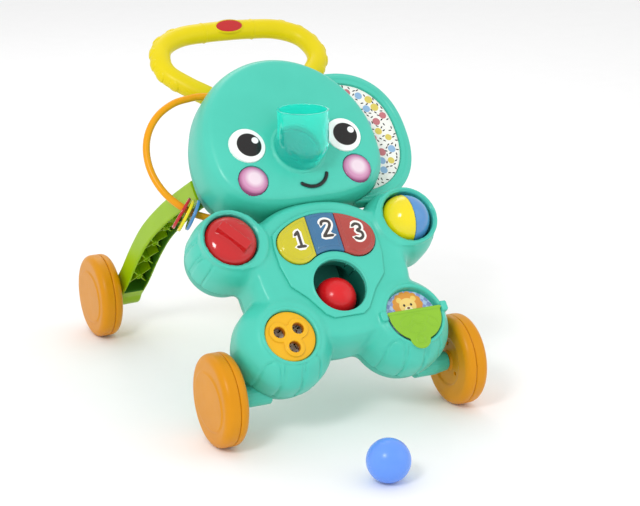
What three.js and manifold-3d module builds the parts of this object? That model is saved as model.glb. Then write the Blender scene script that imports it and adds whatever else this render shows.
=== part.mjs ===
// Elephant push walker for babies. Millimetres, +Z up, the toy faces -Y.
// The origin is on the floor, in the middle of the overall box.
// The activity panel is a leaning plane. Most pieces are built in its own frame:
//   u across (to the viewer's right), v up the slope, w out of the panel, towards the child.
import * as THREE from 'three';
import { mergeVertices } from 'three/addons/utils/BufferGeometryUtils.js';
import Module from 'manifold-3d';

const wasm = await Module();
wasm.setup();

// ---------------------------------------------------------------- driving dimensions
const LEAN = THREE.MathUtils.degToRad(41);      // panel's lean back from upright
const PANEL_FOOT = { y: -54.6, z: 55 };         // where v = 0, w = 0
const BOX_MIDDLE_Y = 138.7;                     // from the front axle to the middle of the overall box
const GAP = 0.4;                                // clearance between neighbouring pieces
const WALL = 2.5;                               // moulded wall thickness

const WHEEL = { r: 55, front: 155.8, rear: 153, thick: 31, rearY: 423.9, cap: 0.6, sides: 18 };
const AXLE = { r: 4, inner: 104 };

const SEAM = -22;                               // w of the joint between front and back shells
const BACK = -44;                               // w of the back shell's flat back
const HEAD = { v: 315, halfU: 117, halfV: 126, power: 2.0, halfDown: 79, powerDown: 3 };
const TORSO = { v: 150, halfU: 104, halfV: 95, power: 2.2, front: 27.5 };
const ARM = { u: 112, v: 200, r: 46, socketU: 115.4, socketV: 201, socketR: 32.6, front: 31.4 };
const ROLLER = { w: 18, r: 31, bearingHalf: 3.4 };   // w of its axle, and half the bearing slot's width
const LEG = { u: 77, v: 76, r: 58, front: 32 };
const SPINNER = { u: -79.7, v: 73.5, r: 30.8, hole: 6.7, spread: 13.8 };
const WINDOW = { u: 80, v: 75, r: 34.5, hinge: 79 };
const HOLE = { v: 125.7, r: 32.8 };             // the ball's way out, in the belly
const PLATE = { back: 27.8, front: 31.4 };      // raised belly plate
const KEYS = { v: 126, r: 68.5, half: 24.5, spread: 34.1, split: 18.5, back: 20, front: 36 };
const BALL = 25.1;                              // play balls' radius
const TRUNK = { v: 305.2, r: 31, bore: 28.5, out: 22.8, up: 38.7 };
const CHUTE = { r: 31, bore: 29 };
const EYE = { u: 63.5, v: 316, r: 22 };
const CHEEK = { u: 68.1, v: 271, r: 18 };
const EAR = { u: 88, v: 331, halfU: 83.3, halfV: 91, power: 2.3 };
const WIRE = { u: -79.5, v: 339, w: -34, r: 83, thick: 4.4 };
const HANDLE = { wide: 13, deep: 12 };

const TEAL = '#4dc0a6';
const YELLOW = '#ecd80a';
const AMBER = '#e3a608';
const GREEN = '#8fc31a';
const STEEL = '#b9bcc0';

// ---------------------------------------------------------------- solids and booleans
// A closed three.js geometry as a manifold solid, its faces turned outwards.
function solid(geometry) {
  const bare = geometry.clone();
  bare.deleteAttribute('normal');
  bare.deleteAttribute('uv');
  const merged = mergeVertices(bare, 1e-3);
  const corners = merged.attributes.position.array;
  const faces = [];
  let volume = 0;
  const a = new THREE.Vector3();
  const b = new THREE.Vector3();
  const c = new THREE.Vector3();
  for (let i = 0; i < merged.index.count; i += 3) {
    const [p, q, r] = [0, 1, 2].map((step) => merged.index.getX(i + step));
    if (p === q || q === r || r === p) continue;
    faces.push(p, q, r);
    a.fromArray(corners, p * 3);
    b.fromArray(corners, q * 3);
    c.fromArray(corners, r * 3);
    volume += a.dot(b.cross(c));
  }
  if (volume < 0) {
    for (let i = 0; i < faces.length; i += 3) [faces[i], faces[i + 1]] = [faces[i + 1], faces[i]];
  }
  const mesh = new wasm.Mesh({
    numProp: 3, vertProperties: Float32Array.from(corners), triVerts: Uint32Array.from(faces),
  });
  return new wasm.Manifold(mesh);
}

function geometryOf(shape) {
  const mesh = shape.getMesh();
  const geometry = new THREE.BufferGeometry();
  geometry.setAttribute('position', new THREE.BufferAttribute(mesh.vertProperties, 3));
  geometry.setIndex(new THREE.BufferAttribute(mesh.triVerts, 1));
  geometry.computeVertexNormals();
  return geometry;
}

const joined = (...shapes) => shapes.reduce((whole, shape) => whole.add(shape));
const cutBy = (shape, ...tools) => tools.reduce((rest, tool) => rest.subtract(tool), shape);

// A turned solid round the w axis. The profile is a list of [radius, w].
function turned(profile, u = 0, v = 0, segments = 20) {
  const points = profile.map(([r, w]) => new THREE.Vector2(r, w));
  const geometry = new THREE.LatheGeometry(points, segments);
  geometry.rotateX(Math.PI / 2);
  geometry.translate(u, v, 0);
  return solid(geometry);
}

function disc(u, v, r, low, high, segments = 20) {
  return turned([[0, low], [r, low], [r, high], [0, high]], u, v, segments);
}

// A turned solid round the x axis. The profile is a list of [radius, x].
function spun(profile, y, z, segments) {
  const points = profile.map(([r, x]) => new THREE.Vector2(r, x));
  const geometry = new THREE.LatheGeometry(points, segments, Math.PI / segments);
  geometry.rotateZ(-Math.PI / 2);
  geometry.translate(0, y, z);
  return solid(geometry);
}

function block(lowU, highU, lowV, highV, lowW, highW) {
  const geometry = new THREE.BoxGeometry(highU - lowU, highV - lowV, highW - lowW);
  geometry.translate((lowU + highU) / 2, (lowV + highV) / 2, (lowW + highW) / 2);
  return solid(geometry);
}

function extruded(shape, low, high, curveSegments = 8) {
  const geometry = new THREE.ExtrudeGeometry(shape, { depth: high - low, bevelEnabled: false, curveSegments });
  geometry.translate(0, 0, low);
  return solid(geometry);
}

function ellipse(halfX, halfY, sides) {
  const shape = new THREE.Shape();
  shape.setFromPoints(Array.from({ length: sides }, (_, i) => {
    const turn = (i + 0.5) * 2 * Math.PI / sides;
    return new THREE.Vector2(halfX * Math.cos(turn), halfY * Math.sin(turn));
  }));
  return shape;
}

function swept(curve, section, steps) {
  return solid(new THREE.ExtrudeGeometry(section, { steps, extrudePath: curve, bevelEnabled: false }));
}

const smooth = (points) => new THREE.CatmullRomCurve3(points.map((p) => new THREE.Vector3(...p)), false, 'centripetal');

// A pillow: a turned form stretched to a rounded-square outline, whose lower half may be shorter
// and squarer. The profile is [fraction, w].
function pillow(form, profile, inset = 0, segments = 32) {
  const points = profile.map(([fraction, w]) => new THREE.Vector2(fraction, w));
  const geometry = new THREE.LatheGeometry(points, segments);
  geometry.rotateX(Math.PI / 2);
  const place = geometry.attributes.position;
  for (let i = 0; i < place.count; i += 1) {
    const [x, y] = [place.getX(i), place.getY(i)];
    const r = Math.hypot(x, y);
    const power = (y < 0 && form.powerDown) || form.power || 2;
    const halfV = (y < 0 && form.halfDown) || form.halfV;
    if (r > 0) {
      const squareness = ((Math.abs(x) / r) ** power + (Math.abs(y) / r) ** power) ** (-1 / power);
      place.setX(i, (form.u ?? 0) + x * squareness * (form.halfU - inset));
      place.setY(i, form.v + y * squareness * (halfV - inset));
    } else {
      place.setX(i, form.u ?? 0);
      place.setY(i, form.v);
    }
  }
  return solid(geometry);
}

// ---------------------------------------------------------------- the assembly
const walker = new THREE.Group();
const world = new THREE.Group();
world.position.set(0, -BOX_MIDDLE_Y, 0);
const panel = new THREE.Group();
panel.position.set(0, PANEL_FOOT.y, PANEL_FOOT.z);
panel.rotation.x = Math.PI / 2 - LEAN;
world.add(panel);
walker.add(world);

function add(group, name, shape, color, roughness = 0.4, more = {}) {
  const material = new THREE.MeshStandardMaterial({ color, roughness, metalness: 0, ...more });
  const mesh = new THREE.Mesh(geometryOf(shape), material);
  mesh.name = name;
  group.add(mesh);
}

// A solid given in the panel's frame, moved into the upright frame, and the other way.
const panelMatrix = new THREE.Matrix4()
  .makeRotationX(Math.PI / 2 - LEAN)
  .setPosition(0, PANEL_FOOT.y, PANEL_FOOT.z);
const upright = (shape) => shape.transform(panelMatrix.elements);
const leaning = (shape) => shape.transform(panelMatrix.clone().invert().elements);

const SIDES = { left: -1, right: 1 };

// ---------------------------------------------------------------- forms shared by several pieces
// A form is grown by a negative inset. A positive one makes the hollow, which runs out at the seam.
const rearOf = (inset) => (inset > 0 ? SEAM - 8 : SEAM + inset);
const roundness = (inset, sides) => (inset > 0 ? Math.round(sides * 0.6) : sides);

function headForm(inset) {
  const top = 37 - inset;
  const rear = rearOf(inset);
  return pillow(HEAD, [[0, rear], [1, rear], [0.995, 4], [0.972, 18], [0.935, 27 - inset], [0.86, 33 - inset],
    [0.6, top - 1], [0, top]], inset, roundness(inset, 28));
}

function torsoForm(inset) {
  const top = TORSO.front - inset;
  const rear = rearOf(inset);
  return pillow(TORSO, [[0, rear], [1, rear], [0.985, 8], [0.93, top - 5], [0.86, top], [0, top]], inset,
    roundness(inset, 24));
}

function armForm(side, inset) {
  const top = ARM.front - inset;
  const rear = rearOf(inset);
  const r = ARM.r - inset;
  return turned([[0, rear], [r, rear], [r, 2], [r - 3, 18 - inset], [r - 7.5, top - 3], [r - 9, top], [0, top]],
    side * ARM.u, ARM.v, roundness(inset, 20));
}

function legForm(side, inset) {
  const top = LEG.front - inset;
  const rear = rearOf(inset);
  const r = LEG.r - inset;
  return turned([[0, rear], [r, rear], [r, 0], [r - 3.5, 12 - inset], [r - 10, top - 10], [r - 19, top], [0, top]],
    side * LEG.u, LEG.v, roundness(inset, 20));
}

// The back shell's share of a form: a shallow bowl behind the seam.
function backForm(form, inset) {
  const low = BACK + inset;
  const front = inset ? SEAM + 8 : SEAM - GAP;
  return pillow(form, [[0, front], [1, front], [0.96, -33 + inset / 2], [0.86, low], [0, low]], inset + 1.5,
    roundness(inset, 18));
}

// The two ends of the handle's path lie inside the head.
const handleHalf = [[45, 388, -29], [56, 416, -31], [83, 440, -34.5], [102, 462, -39.5], [105, 484, -44.5],
  [94, 508, -51], [66, 523, -55], [30, 527, -56]];
const handlePath = smooth([
  ...handleHalf.map(([u, v, w]) => [-u, v, w]),
  [0, 527.5, -56],
  ...handleHalf.toReversed(),
]);
const handleForm = (grow) => swept(handlePath, ellipse(HANDLE.wide + grow, HANDLE.deep + grow, 8), 28);

// The wire starts and ends inside the head's shells, and bows out to its left. Its lower part is a circle.
const wirePath = smooth([[-70, 410, -8], [-82, 413, -12], [-92, 413.6, -14], [-116.7, 409.5, -16],
  [-139.7, 396.8, -20], [-155.8, 376.8, -25], [-163.2, 351.7, -30], [-161.7, 324.2, -33],
  ...[210, 230, 245, 258].map((turn) => [...onWire(turn), WIRE.w]), [-80, 256, -33.5], [-64, 258, -32]]);
function onWire(turn) {
  const angle = THREE.MathUtils.degToRad(turn);
  return [WIRE.u + WIRE.r * Math.cos(angle), WIRE.v + WIRE.r * Math.sin(angle)];
}
const wireForm = (grow) => swept(wirePath, ellipse(WIRE.thick + grow, WIRE.thick + grow, 6), 24);

// The ball's way from the trunk, behind the keys, to the hole in the belly.
function chuteForm(start, r) {
  const path = smooth([[0, TRUNK.v, start], [0, TRUNK.v, 8], [0, 298, -12], [0, 280, -24.5], [0, 252, -29],
    [0, 205, -29], [0, 176, -26], [0, 154, -16], [0, 136, -2]]);
  return swept(path, ellipse(r, r, 12), 10);
}

function bracketForm(side, grow) {
  const profile = [[0, 96 - grow], [14.5 + grow, 96 - grow], [14.5 + grow, 122], [11.5 + grow, 139.4],
    [0, 139.4]];
  return spun(profile.map(([r, x]) => [r, side * x]), 0, WHEEL.r, 20);
}

// ---------------------------------------------------------------- head
const trunkUp = [0, Math.cos(LEAN), Math.sin(LEAN)];            // straight up, seen in the panel's frame
const elbowW = 31.5 + TRUNK.out;
function trunkPath(start, overrun = 0) {
  const bend = 15;
  const rise = (d) => [0, TRUNK.v + trunkUp[1] * d, elbowW + trunkUp[2] * d];
  return smooth([[0, TRUNK.v, start], [0, TRUNK.v, (start + elbowW - bend) / 2], [0, TRUNK.v, elbowW - bend],
    [0, TRUNK.v + 2.6, elbowW - 3.6], rise(bend), rise((bend + TRUNK.up) / 2), rise(TRUNK.up + overrun)]);
}

function head() {
  const shell = cutBy(
    headForm(0), headForm(WALL),
    disc(0, TRUNK.v, TRUNK.r + GAP, 10, 60),
    disc(-EYE.u, EYE.v, EYE.r + GAP, 10, 60), disc(EYE.u, EYE.v, EYE.r + GAP, 10, 60),
    disc(-CHEEK.u, CHEEK.v, CHEEK.r + GAP, 0, 60), disc(CHEEK.u, CHEEK.v, CHEEK.r + GAP, 0, 60),
    mouthForm(GAP, 24), wireForm(GAP), earForm(GAP), handleForm(GAP), chuteForm(26, CHUTE.r + GAP),
  );
  add(panel, 'head_front_shell', shell, TEAL);

  const trunk = cutBy(
    swept(trunkPath(25), ellipse(TRUNK.r, TRUNK.r, 16), 8),
    swept(trunkPath(20, 8), ellipse(TRUNK.bore, TRUNK.bore, 16), 8),
  );
  add(panel, 'trunk_tube', trunk, '#1cd5c5', 0.08, { transparent: true, opacity: 0.5 });

  for (const [side, way] of Object.entries(SIDES)) {
    const eye = turned([[0, 30], [EYE.r, 30], [EYE.r, 36], [0, 38.2]], way * EYE.u, EYE.v, 18);
    add(panel, `eye_${side}`, eye, '#f4f2ee', 0.2);
    const lens = turned([[0, 26], [CHEEK.r, 26], [CHEEK.r, 32.5], [12, 36.2], [0, 37.4]],
      way * CHEEK.u, CHEEK.v, 16);
    add(panel, `cheek_lens_${side}`, lens, '#e79ac0', 0.12, { transparent: true, opacity: 0.8 });
  }
  add(panel, 'mouth_inlay', mouthForm(0, 32), '#2b2624', 0.3);
}

// The smile: a stroke with round ends along an arc.
function mouthForm(grow, low) {
  const stroke = 2.3 + grow;
  const [centreU, centreV, r] = [5, 275, 22];
  const [from, to] = [-137, -12].map(THREE.MathUtils.degToRad);
  const shape = new THREE.Shape();
  const end = (turn) => [centreU + r * Math.cos(turn), centreV + r * Math.sin(turn)];
  shape.absarc(centreU, centreV, r + stroke, from, to, false);
  shape.absarc(...end(to), stroke, to, to + Math.PI, false);
  shape.absarc(centreU, centreV, r - stroke, to, from, true);
  shape.absarc(...end(from), stroke, from + Math.PI, from, false);
  return extruded(shape, low, 38, 6);
}

// ---------------------------------------------------------------- ear, on the right only
function earForm(grow) {
  return pillow(EAR, [[0, -20 - grow], [0.95, -20 - grow], [1, -16], [1, -5], [0.95, grow], [0, grow]], -grow, 24)
    .subtract(block(-200, 68 - grow, 0, 600, -90, 90));
}

function ear() {
  const recess = (inset, low, high) => pillow(EAR, [[0, low], [0.83, low], [0.83, high], [0, high]], inset, 24);
  const inside = headForm(-GAP).subtract(block(-200, 200, 0, 600, -200, SEAM));
  add(panel, 'ear_shell', cutBy(earForm(0), recess(0, -4, 20), inside, armForm(1, -GAP), torsoForm(-GAP)), TEAL);
  const label = cutBy(recess(GAP, -3.7, -2.7), inside, block(-200, 68, 0, 600, -90, 90));
  add(panel, 'ear_label', label, '#f2f0ea', 0.6);
}

// ---------------------------------------------------------------- body
function bean(inset, low, high) {
  const spread = THREE.MathUtils.degToRad(KEYS.spread);
  const up = Math.PI / 2;
  const [outer, inner, cap] = [KEYS.r + KEYS.half - inset, KEYS.r - KEYS.half + inset, KEYS.half - inset];
  const [endU, endV] = [KEYS.r * Math.sin(spread), KEYS.v + KEYS.r * Math.cos(spread)];
  const shape = new THREE.Shape();
  shape.absarc(0, KEYS.v, outer, up + spread, up - spread, true);
  shape.absarc(endU, endV, cap, up - spread, -up - spread, true);
  shape.absarc(0, KEYS.v, inner, up - spread, up + spread, false);
  shape.absarc(-endU, endV, cap, -up + spread, -3 * up + spread, true);
  return extruded(shape, low, high, 6);
}

function plateForm(grow, low, high) {
  const side = [[67 + grow, 185], [66.5 + grow, 160], [60.5 + grow, 133], [43 + grow, 115 - grow],
    [28 + grow, 93 - grow], [19, 87 - grow]];
  const arcTop = Array.from({ length: 9 }, (_, i) => {
    const turn = THREE.MathUtils.degToRad(46 + 88 * i / 8);
    return [(98 + grow) * Math.cos(turn), KEYS.v + (98 + grow) * Math.sin(turn)];
  });
  const outline = [...side.toReversed(), ...arcTop, ...side.map(([u, v]) => [-u, v])];
  const shape = new THREE.Shape(outline.map(([u, v]) => new THREE.Vector2(u, v)));
  return extruded(shape, low, high);
}

function body() {
  const forms = [torsoForm, (inset) => armForm(-1, inset), (inset) => armForm(1, inset),
    (inset) => legForm(-1, inset), (inset) => legForm(1, inset)];
  const outside = joined(...forms.map((part) => part(0)));
  const hollow = joined(...forms.map((part) => part(WALL)));
  const rim = ARM.socketR + WALL;
  const cups = joined(
    disc(-ARM.socketU, ARM.socketV, rim, -17, 29), disc(ARM.socketU, ARM.socketV, rim, -24, 29),
    disc(SPINNER.u, SPINNER.v, SPINNER.r + 3, 9, 29.5), disc(WINDOW.u, WINDOW.v, WINDOW.r + 2, 20, 29.5),
  );
  const lugs = joined(block(36, 44, 71, 83, 26, 36.4), block(116, 124, 73, 85, 20, 36.4));
  const rollerBearings = block(ARM.socketU - ROLLER.bearingHalf, ARM.socketU + ROLLER.bearingHalf, 150, 260,
    ROLLER.w - ROLLER.bearingHalf, ROLLER.w + ROLLER.bearingHalf);
  const shell = cutBy(
    joined(outside.subtract(hollow), cups, lugs),
    disc(-ARM.socketU, ARM.socketV, ARM.socketR, -14.5, 60), disc(-ARM.socketU, ARM.socketV, 5.4, -40, 0, 16),
    disc(ARM.socketU, ARM.socketV, ARM.socketR, -21.5, 60),
    rollerBearings.intersect(disc(ARM.socketU, ARM.socketV, ARM.socketR + 1.6, 0, 30)),
    disc(SPINNER.u, SPINNER.v, SPINNER.r + 0.7, 12, 60), disc(WINDOW.u, WINDOW.v, WINDOW.r, 22.5, 60),
    disc(SPINNER.u, SPINNER.v, 4.4, 0, 20, 16),
    disc(0, HOLE.v, HOLE.r + 2.4, 0, 60), bean(-1, 0, 60),
    headForm(-GAP), wireForm(GAP), flapPin(GAP), chuteForm(26, CHUTE.r + GAP),
    leaning(bracketForm(-1, GAP)), leaning(bracketForm(1, GAP)),
  );
  add(panel, 'body_front_shell', largest(shell), TEAL);

  const plate = cutBy(plateForm(0, PLATE.back, PLATE.front), disc(0, HOLE.v, HOLE.r, 0, 60, 24), bean(0, 0, 60),
    headForm(-GAP));
  add(panel, 'belly_panel', plate, '#56c6ad');
}

// Cutting can leave a sliver: the piece itself is the largest part.
function largest(shape) {
  const parts = shape.decompose();
  return parts.reduce((best, part) => (part.volume() > best.volume() ? part : best));
}

function backShell() {
  const arms = { halfU: ARM.r, halfV: ARM.r, v: ARM.v };
  const legs = { halfU: LEG.r, halfV: LEG.r, v: LEG.v };
  const forms = [HEAD, TORSO, { ...arms, u: -ARM.u }, { ...arms, u: ARM.u }, { ...legs, u: -LEG.u },
    { ...legs, u: LEG.u }];
  const ridge = (inset) => {
    const geometry = new THREE.CapsuleGeometry(36 - inset, 128, 3, 16);
    geometry.translate(0, 215, -31);
    return solid(geometry).subtract(block(-60, 60, 0, 500, inset ? SEAM + 8 : SEAM - GAP, 60));
  };
  const shell = cutBy(
    joined(...forms.map((form) => backForm(form, 0)), ridge(0)),
    ...forms.map((form) => backForm(form, WALL)), ridge(WALL),
    handleForm(GAP), wireForm(GAP), earForm(GAP),
    leaning(bracketForm(-1, GAP)), leaning(bracketForm(1, GAP)),
    block(-92, -46, 118, 186, -60, -36), block(58, 74, 238, 248, -60, -36),
  );
  add(panel, 'back_shell', largest(shell), '#45b89e');
  add(panel, 'battery_door', block(-91.6, -46.4, 118.4, 185.6, BACK, BACK + 2.2)
    .subtract(disc(-69, 179, 2.2, -60, 0, 12)), '#45b89e');
  add(panel, 'battery_door_screw', turned([[0, BACK - 0.9], [3.2, BACK - 0.9], [3.2, BACK - 0.3], [1.7, BACK - 0.3],
    [1.7, BACK + 9], [0, BACK + 9]], -69, 179, 12), STEEL, 0.35, { metalness: 1 });
  add(panel, 'power_switch', block(59, 65, 239, 247, BACK - 2.5, BACK + 5), '#e23b2e');
  for (const [i, u] of [-77, -60.5].entries()) {
    const cell = new THREE.CylinderGeometry(7, 7, 50, 16);
    cell.translate(u, 150, -33);
    add(panel, `battery_${i + 1}`, solid(cell), '#3f4448', 0.35);
  }
}

// ---------------------------------------------------------------- inside: the ball's path, board, speaker
function insides() {
  const floor = -18.6;                                           // behind the resting ball
  const under = disc(0, HOLE.v, HOLE.r + 2, -60, floor - 0.4).intersect(block(-60, 60, 60, 138, -60, 60));
  const pipe = chuteForm(24.6, CHUTE.r).subtract(block(-60, 60, 0, 160, 6, 60));
  const chute = cutBy(
    joined(pipe, disc(0, HOLE.v, HOLE.r + 2, floor - 2, 27.3)),
    chuteForm(34, CHUTE.bore).subtract(under), disc(0, HOLE.v, HOLE.r, floor, 60),
  );
  add(panel, 'ball_chute', largest(chute), '#1f8f78');

  add(panel, 'circuit_board', block(-44, 44, 172, 226, 12.5, 14.1).subtract(headForm(-GAP)), '#1d6b3c', 0.5);
  add(panel, 'speaker', turned([[0, -18], [11, -18], [11, -12], [20, -4], [20, -2], [0, -2]], 62, 300, 20),
    '#2a2b2d', 0.6);
}

// ---------------------------------------------------------------- things to press, turn, roll and lift
function keys() {
  const slots = [[-80, -KEYS.split - GAP], [-KEYS.split, KEYS.split], [KEYS.split + GAP, 80]];
  const colours = ['#e6de00', '#3f80b4', '#d5473c'];
  slots.forEach(([low, high], i) => {
    const key = bean(GAP, KEYS.back, KEYS.front).intersect(block(low, high, 100, 260, 0, 60));
    add(panel, `key_${i + 1}`, key, colours[i], 0.25);
  });
}

function knob() {
  const [u, v] = [-ARM.socketU, ARM.socketV];
  const dome = turned([[0, 39], [14, 38], [24, 34.5], [31.6, 27], [31.6, -11], [29.6, -11], [29.6, 25.5],
    [23, 31.5], [13, 34.6], [5, 35], [5, -19], [0, -19]], u, v);
  const grip = new THREE.BoxGeometry(40, 12, 20);
  grip.rotateZ(THREE.MathUtils.degToRad(-50));
  grip.translate(u, v, 36);
  add(panel, 'twist_knob', joined(dome, solid(grip)), '#c40a0c', 0.1);
}

function roller() {
  const [u, v, w, r] = [ARM.socketU, ARM.socketV, ROLLER.w, ROLLER.r];
  const ball = new THREE.SphereGeometry(r, 16, 10);
  ball.translate(u, v, w);
  const halves = solid(ball);
  const pin = new THREE.CylinderGeometry(2.6, 2.6, 2 * ARM.socketR + 2, 12);
  pin.translate(u, v, w);
  const bore = new THREE.CylinderGeometry(3, 3, 80, 12);
  bore.translate(u, v, w);
  const left = cutBy(halves, block(u, u + 60, 100, 300, -60, 90), solid(bore));
  const right = cutBy(halves, block(u - 60, u + GAP, 100, 300, -60, 90), solid(bore));
  add(panel, 'roller_half_yellow', left, '#f2e000', 0.12);
  add(panel, 'roller_half_blue', right, '#5e9ccf', 0.12);
  add(panel, 'roller_axle', solid(pin), STEEL, 0.3, { metalness: 1 });
}

function spinner() {
  const { u, v, r, hole, spread } = SPINNER;
  const holes = [34, 154, 274].map(THREE.MathUtils.degToRad)
    .map((turn) => [u + spread * Math.cos(turn), v + spread * Math.sin(turn)]);
  const plate = turned([[0, 24], [r, 24], [r, 28.5], [r - 1.5, 29.5], [0, 29.5]], u, v);
  const rings = holes.map(([x, y]) => turned([[0, 28], [hole + 5, 28], [hole + 4, 32], [0, 32]], x, y, 20));
  const hub = disc(u, v, 4, 4, 26, 16);
  const cuts = holes.map(([x, y]) => disc(x, y, hole, 0, 60, 18));
  add(panel, 'spinner_disc', cutBy(joined(plate, hub, ...rings), ...cuts), '#eab610', 0.3);
  add(panel, 'spinner_label', turned([[4.4, 12.4], [r - 1, 12.4], [r - 1, 13.2], [4.4, 13.2], [4.4, 12.4]], u, v),
    '#efeae0', 0.6);
}

const PIN = { v: WINDOW.hinge, w: 33.8, r: 1.5 };
function flapPin(grow) {
  const rod = new THREE.CylinderGeometry(PIN.r + grow, PIN.r + grow, 83 + 2 * grow, 10);
  rod.rotateZ(Math.PI / 2);
  rod.translate(WINDOW.u, PIN.v, PIN.w);
  return solid(rod);
}

function peekaboo() {
  const { u, v, r } = WINDOW;
  const cover = joined(
    disc(u, v, r - 0.6, 32.5, 35.1, 24).intersect(block(0, 160, 0, PIN.v, 0, 60)),
    disc(u - 3, 44, 13, 32.5, 35.1, 20),
    block(47, 113, PIN.v - 3, PIN.v + 2.2, 32.5, 36),
  );
  add(panel, 'flap', cover.subtract(flapPin(GAP)), '#8fc524', 0.3);
  add(panel, 'flap_pin', flapPin(0), STEEL, 0.3, { metalness: 1 });
  add(panel, 'peekaboo_picture', disc(u, v, r - 1, 22.9, 23.7, 24), '#8f9fd6', 0.5);
}

// ---------------------------------------------------------------- wire loop and its charms
function wire() {
  add(panel, 'wire_loop', wireForm(0), '#eda60a', 0.3);
  const charms = [
    { name: 'charm_red', turn: 228.3, r: 21, drop: 6.5, color: '#d3241f' },
    { name: 'charm_yellow', turn: 232.3, r: 21, drop: 6.5, color: '#f0de14' },
    { name: 'charm_blue', turn: 237, r: 19.5, drop: 2.5, color: '#78a8e6' },
  ];
  const down = new THREE.Vector3(0, -Math.cos(LEAN), -Math.sin(LEAN));
  for (const { name, turn, r, drop, color } of charms) {
    const angle = THREE.MathUtils.degToRad(turn);
    const along = new THREE.Vector3(-Math.sin(angle), Math.cos(angle), 0);
    const hang = down.clone().addScaledVector(along, -down.dot(along)).normalize();
    const across = along.clone().cross(hang);
    const plate = new THREE.Shape();
    plate.absarc(drop, 0, r, 0, 2 * Math.PI);
    const eye = new THREE.Path();
    eye.absarc(0, 0, WIRE.thick + 1.2, 0, 2 * Math.PI);
    plate.holes.push(eye);
    const geometry = new THREE.ExtrudeGeometry(plate, { depth: 4, bevelEnabled: false, curveSegments: 8 });
    geometry.translate(0, 0, -2);
    geometry.applyMatrix4(new THREE.Matrix4().makeBasis(hang, across.negate(), along.clone()));
    geometry.translate(...onWire(turn), WIRE.w);
    add(panel, name, solid(geometry), color, 0.3);
  }
}

// ---------------------------------------------------------------- handle and rear legs
function handle() {
  const badge = (grow, low, high) => {
    const geometry = new THREE.CylinderGeometry(1, 1, high - low, 28);
    geometry.scale(18 + grow, 1, 8.6 + grow);
    geometry.rotateX(Math.PI / 2);
    geometry.translate(0, 527.5, (low + high) / 2);
    return solid(geometry);
  };
  const top = -56 + HANDLE.deep;
  add(panel, 'handle', handleForm(0).subtract(badge(GAP, top - 2, top + 10)), YELLOW, 0.3);
  add(panel, 'handle_badge', badge(0, top - 1.6, top + 0.8), '#b81414', 0.3);
}

// A curved channel beam: open towards the front and the floor. It toes in towards its top.
function rearLeg(side) {
  const toeIn = THREE.MathUtils.degToRad(5);
  const depth = 13;
  const curve = new THREE.SplineCurve([[424, 52], [391, 85], [358, 125], [320, 164], [270, 201], [226, 228],
    [178, 255], [150, 270]].map(([y, z]) => new THREE.Vector2(y, z)));
  const steps = 14;
  const rail = (offset, from, to) => Array.from({ length: steps + 1 }, (_, i) => {
    const t = from + (to - from) * i / steps;
    const along = curve.getTangent(t);
    return curve.getPoint(t).add(new THREE.Vector2(along.y, -along.x).multiplyScalar(offset));
  });
  const band = (high, low, from, to, x0, x1) => {
    const outline = new THREE.Shape([...rail(high, from, to), ...rail(low, from, to).toReversed()]);
    const geometry = new THREE.ExtrudeGeometry(outline, { depth: x1 - x0, bevelEnabled: false });
    geometry.translate(0, 0, x0);
    // The outline's (y, z) and the depth x, turned into x, y, z.
    geometry.applyMatrix4(new THREE.Matrix4().set(0, 0, 1, 0, 1, 0, 0, 0, 0, 1, 0, 0, 0, 0, 0, 1));
    return solid(geometry);
  };
  const boss = spun([[0, 0], [18, 0], [18, 34], [0, 34]], WHEEL.rearY, WHEEL.r, 20);
  const beam = cutBy(joined(band(depth, -depth, 0, 1, 0, 34)), band(depth - 3, -depth - 4, 0.08, 0.86, 3, 31));
  const place = new THREE.Matrix4().makeTranslation(0, -WHEEL.rearY, 0);
  place.premultiply(new THREE.Matrix4().makeScale(-1, 1, 1));
  place.premultiply(new THREE.Matrix4().makeRotationZ(-toeIn));
  place.premultiply(new THREE.Matrix4().makeTranslation(134, WHEEL.rearY, 0));
  if (side < 0) place.premultiply(new THREE.Matrix4().makeScale(-1, 1, 1));
  const bore = spun([[0, AXLE.inner - 1], [AXLE.r + GAP, AXLE.inner - 1], [AXLE.r + GAP, 150], [0, 150]]
    .map(([r, x]) => [r, side * x]), WHEEL.rearY, WHEEL.r, 16);
  const behind = upright(block(-200, 200, 0, 600, BACK - GAP, 200));
  return largest(cutBy(joined(beam, boss).transform(place.elements), bore, behind,
    spun([[0, 134.6], [30, 134.6], [30, 150], [0, 150]].map(([r, x]) => [r, side * x]), WHEEL.rearY, WHEEL.r, 20)));
}

// ---------------------------------------------------------------- wheels, axles, brackets
function wheel(name, side, middle, y) {
  const rim = WHEEL.r / Math.cos(Math.PI / WHEEL.sides);         // flats of the rim lie on the wheel's radius
  const outer = middle + WHEEL.thick / 2;
  const inner = middle - WHEEL.thick / 2;
  const seam = outer - WHEEL.thick * WHEEL.cap;
  const bore = AXLE.r + 0.3;
  const place = (profile) => spun(profile.map(([r, x]) => [r, side * x]), y, WHEEL.r, WHEEL.sides);
  const cap = place([[0, outer], [43, outer], [51, outer - 4], [rim, outer - 11], [rim, seam], [bore, seam],
    [bore, outer - 5], [0, outer - 5]]);
  const back = place([[bore, inner], [43, inner], [51, inner + 4], [rim, inner + 10], [rim, seam - 0.3],
    [bore, seam - 0.3], [bore, inner]]);
  add(world, `wheel_cap_${name}`, cap, AMBER, 0.35);
  add(world, `wheel_back_${name}`, back, AMBER, 0.35);
  const pin = spun([[0, AXLE.inner], [AXLE.r, AXLE.inner], [AXLE.r, outer - 5.4], [0, outer - 5.4]]
    .map(([r, x]) => [r, side * x]), y, WHEEL.r, 16);
  add(world, `axle_${name}`, pin, STEEL, 0.3, { metalness: 1 });
}

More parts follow.
